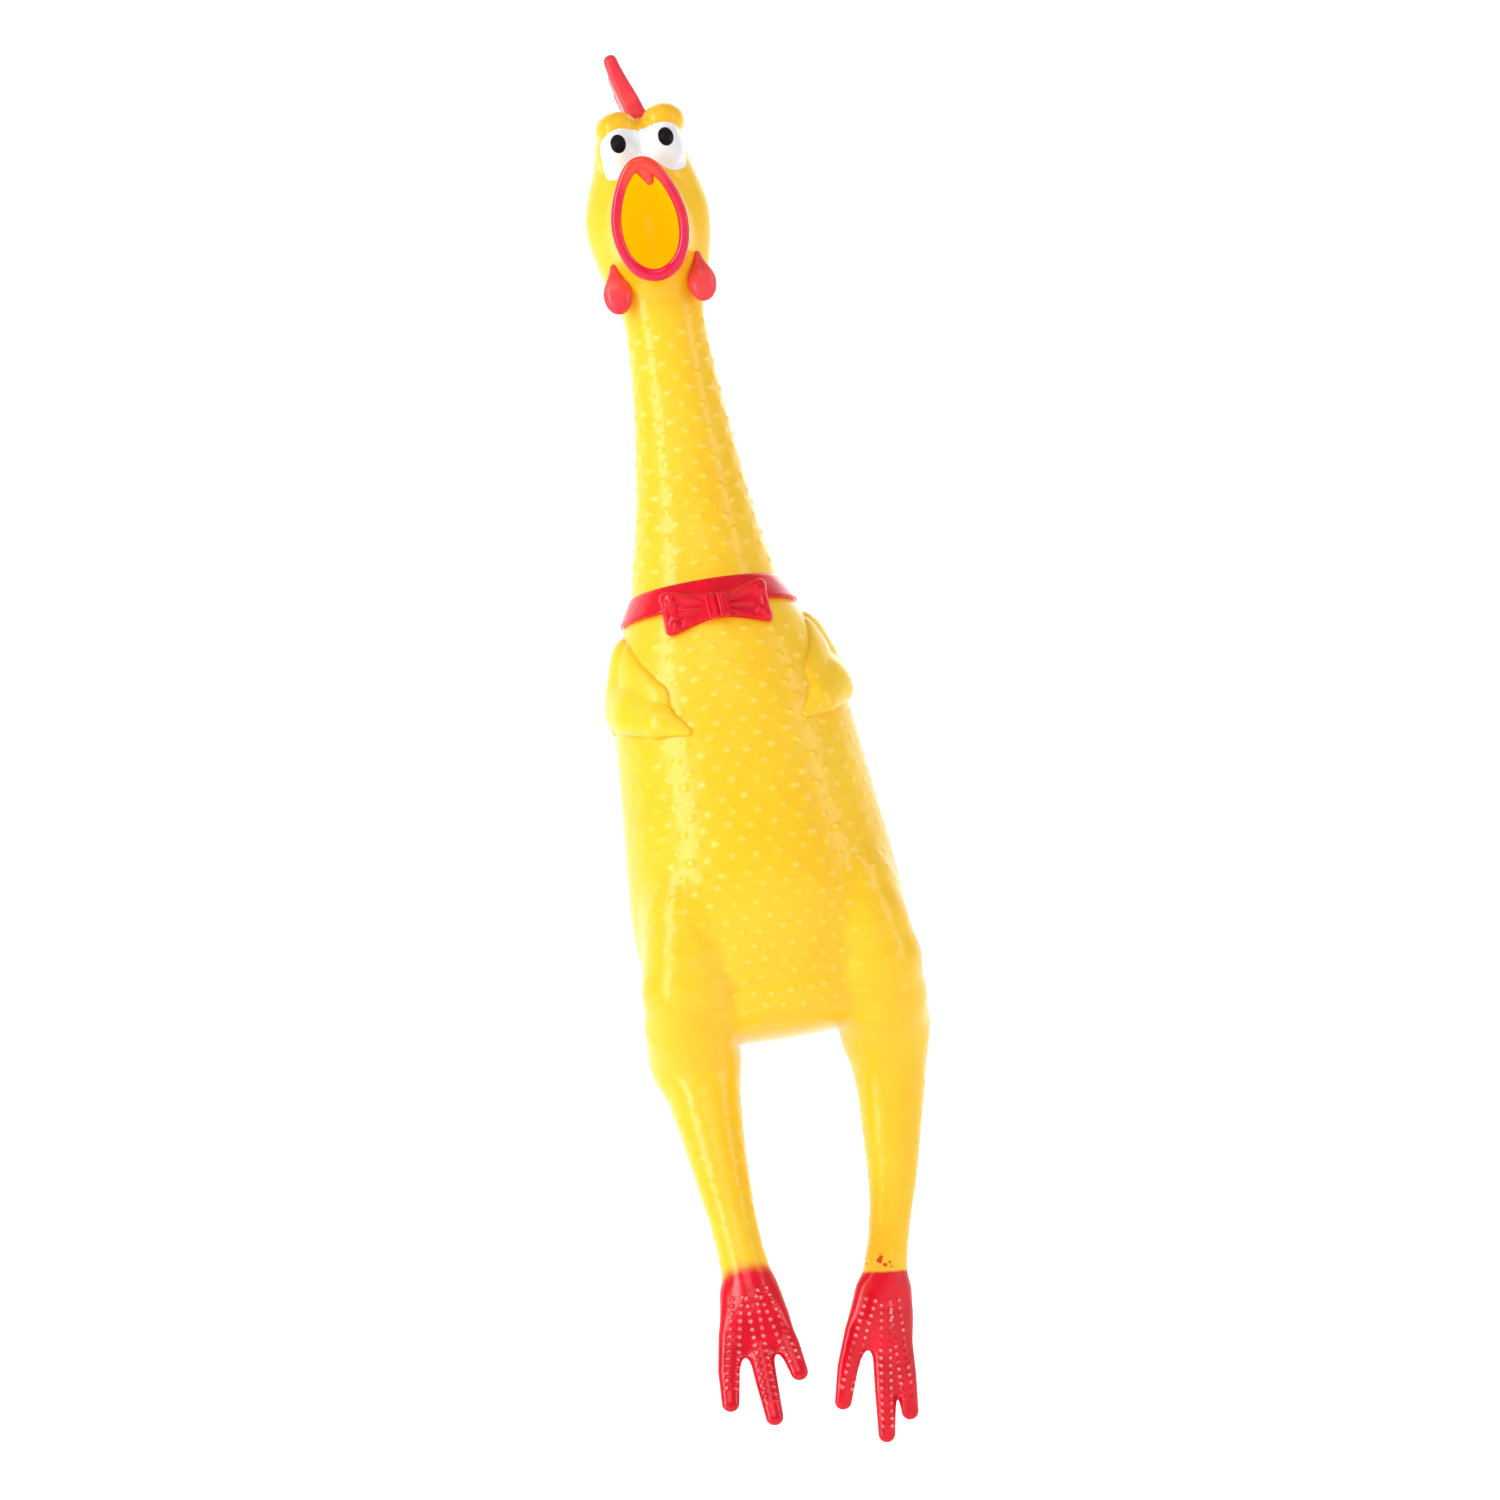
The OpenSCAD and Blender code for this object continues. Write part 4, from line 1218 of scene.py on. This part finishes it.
SKIN = build_skin()
bend(
    SKIN["skin_torso"], "trunk", "belly", (0, BELLY_START, 0), (0, BELLY_STOP, 0), "yellow_vinyl",
    "torso_shell", "belly_panel", "haunch_left", "haunch_right", "tail"
)
bend(SKIN["skin_neck_lower"], "trunk", "neck_low", (0, 0, 66), (0, 0, 88), "yellow_vinyl", "neck_lower")
bend(SKIN["skin_neck_upper"], "neck_low", "neck_up", (0, 0, 98), (0, 0, 120), "yellow_vinyl", "neck_upper")
bend(
    SKIN["skin_head"], "neck_up", "head", (0, 0, 134), (0, 0, 152), "yellow_vinyl", "head_shell", "beak_shell"
)
for side, leg in LEGS.items():
    line = HIP_LINE[side]
    bend(
        SKIN[f"skin_thigh_{side}"], "trunk", f"thigh_{side}", line * HIP_START, line * HIP_END,
        "yellow_vinyl", f"thigh_{side}"
    )
    bend(
        SKIN[f"skin_shank_{side}"], f"thigh_{side}", f"shank_{side}", leg.world(0, 0, 38), leg.world(0, 0, 57),
        "yellow_vinyl", f"shank_{side}"
    )
    bend(
        SKIN[f"skin_foot_{side}"], f"shank_{side}", f"foot_{side}", leg.world(0, 0, 64), leg.world(0, 0, 82),
        "red_paint", f"foot_{side}"
    )

for side, s in SIDES.items():
    wing = build_field(
        f"wing_{side}_lobe", wing_field(side), (min(s * 4, s * 42), -36, 18), (max(s * 4, s * 42), 14, 60),
        # painted shade: 1 where the wing meets the torso, fading to 0 a little way out
        hollow=lambda p: 1 - smooth_step(body_loft(straight(p)), 0.0, 1.6)
    )
    place(wing, f"wing_{side}", "yellow_vinyl", wing_mat, f"wing_{side}")
    wattle = build_field(
        f"wattle_{side}_lobe", wattle_field(side), (s * 12 - 8, -18, 142), (s * 12 + 8, -4, 165),
        rim=lambda p: 1 - smooth_step(p[:, 2], 146, 158)
    )
    place(wattle, f"wattle_{side}", "coral_vinyl", coral_mat, f"wattle_{side}")
    x, z = PUPIL[side]
    eye = patch_object(f"eye_{side}_white", eye_outline(side), (x, z - 1.2), 0.12, 0.25)
    place(eye, "head", "white_paint", white_mat, f"eye_{side}")
    pupil = patch_object(f"pupil_{side}_dot", pupil_outline(side), (x, z + EYE_DROP), 0.42, 0.35)
    place(pupil, "head", "black_paint", black_mat, f"pupil_{side}")

comb = build_field(
    "comb_fan", comb_field, (-12, -14, 198), (8, 20, 224), rim=lambda p: smooth_step(comb_frame(p)[2], 2, 15)
)
place(comb, "comb", "coral_vinyl", coral_mat, "comb")
collar = build_field("collar_band", collar_field, (-28, -28, 57), (28, 28, 69))
place(collar, "trunk", "red_paint", red_mat, "collar")
bow = build_field("bow_loops", bow_field, (-18, -32, 50), (18, -10, 69), 0.3)
place(bow, "trunk", "red_paint", red_mat, "bow_tie")
knot = build_field("bow_centre", knot_field, (-5, -32, 52), (5, -22, 68), 0.25)
place(knot, "trunk", "red_paint", red_mat, "bow_knot")
place(build_rim(), "head", "red_paint", rim_mat, "beak_rim")
hook = build_field("beak_hook", hook_field, (-6, -36, 176), (10, -20, 192), 0.25, lip=lambda p: np.ones(len(p)))
place(hook, "head", "red_paint", rim_mat, "beak_tip")

squeaker_mat = moulded_material("squeaker_plastic_white", (0.80, 0.80, 0.77), (0.68, 0.68, 0.64), 0.45)
reed_mat = moulded_material("reed_film_amber", (0.62, 0.43, 0.14), (0.50, 0.33, 0.09), 0.35)
for name in ("squeaker_housing", "squeaker_cap", "reed_block"):
    wear(frame["nodes"][name], squeaker_mat)
wear(frame["nodes"]["reed"], reed_mat)


# ---------------------------------------------------------------- studio

FLOOR_Z = -0.2


def sweep():
    """Pale floor that curves up into a backdrop."""
    profile = [(-3.0, 0.0), (0.9, 0.0)]
    profile += [(0.9 + 0.7 * math.sin(t), 0.7 - 0.7 * math.cos(t)) for t in np.linspace(0.1, math.pi / 2, 14)]
    profile += [(1.6, 3.0)]
    verts = [(x, y, FLOOR_Z + z) for y, z in profile for x in (-4.0, 4.0)]
    faces = [(2 * i, 2 * i + 1, 2 * i + 3, 2 * i + 2) for i in range(len(profile) - 1)]
    mesh = bpy.data.meshes.new("sweep")
    mesh.from_pydata(verts, [], faces)
    mesh.update()
    obj = show("sweep", mesh, {})
    m = Shader("studio_paper", Roughness=0.9, Emission_Color=(1, 1, 1, 1))
    place = m.object_mm()
    grain = m.noise(place, 0.02, 2)
    far = m.node("ShaderNodeSeparateXYZ", {0: place}).outputs["Y"]
    # Painted glow: the paper emits light, faint near the front and stronger towards the back, which also lights
    # the toy
    m.put("Emission Strength", m.spread(far, 20, 500, 0.15, 0.6, smooth=True))
    m.put("Base Color", m.mix(grain, (0.93, 0.93, 0.93), (0.96, 0.96, 0.96)))
    wear(obj, m.mat)


def softbox(name, azimuth, elevation, distance, width, height, power, colour=(1, 1, 1)):
    """A rectangular light round the object, facing its middle."""
    a, e = math.radians(azimuth), math.radians(elevation)
    spot = Vector((math.sin(a) * math.cos(e), -math.cos(a) * math.cos(e), math.sin(e))) * distance
    data = bpy.data.lights.new(name, "AREA")
    data.shape = "RECTANGLE"
    data.size, data.size_y = width, height
    data.energy = power
    data.color = colour
    obj = bpy.data.objects.new(name, data)
    obj.visible_camera = False
    obj.location = spot + Vector((0, 0, 0.02))
    obj.rotation_euler = (-spot).to_track_quat("-Z", "Y").to_euler()
    bpy.context.scene.collection.objects.link(obj)


def camera():
    """The camera stands a little to the left and below, and rolls so that the toy leans left."""
    data = bpy.data.cameras.new("camera")
    data.lens, data.sensor_width = 100, 36
    data.clip_end = 20
    obj = bpy.data.objects.new("camera", data)
    a, e = math.radians(VIEW_AZIMUTH), math.radians(VIEW_ELEVATION)
    away = Vector((math.sin(a) * math.cos(e), -math.cos(a) * math.cos(e), math.sin(e)))
    obj.location = Vector(VIEW_AIM) * MM + away * VIEW_DISTANCE
    turn = (-away).to_track_quat("-Z", "Y").to_matrix() @ Matrix.Rotation(math.radians(-VIEW_ROLL), 3, "Z")
    obj.rotation_euler = turn.to_euler()
    bpy.context.scene.collection.objects.link(obj)
    bpy.context.scene.camera = obj


VIEW_AZIMUTH, VIEW_ELEVATION, VIEW_ROLL = -6.0, -5.0, 9.5
VIEW_AIM = (3.8, 0, 18.8)
VIEW_DISTANCE = 1.183

sweep()
camera()
softbox("key", -62, 18, 1.3, 0.4, 1.3, 11)
softbox("front", -8, 42, 1.6, 0.9, 0.6, 3.5)
softbox("fill", 65, 8, 1.5, 0.35, 1.3, 5.5)
softbox("rim", 160, 30, 1.6, 1.2, 1.2, 5)
world = bpy.data.worlds.new("studio")
world.use_nodes = True
world.node_tree.nodes["Background"].inputs["Color"].default_value = (1, 1, 1, 1)
world.node_tree.nodes["Background"].inputs["Strength"].default_value = 0.40
bpy.context.scene.world = world
bpy.context.scene.view_settings.view_transform = "Standard"
bpy.context.scene.view_settings.look = "None"
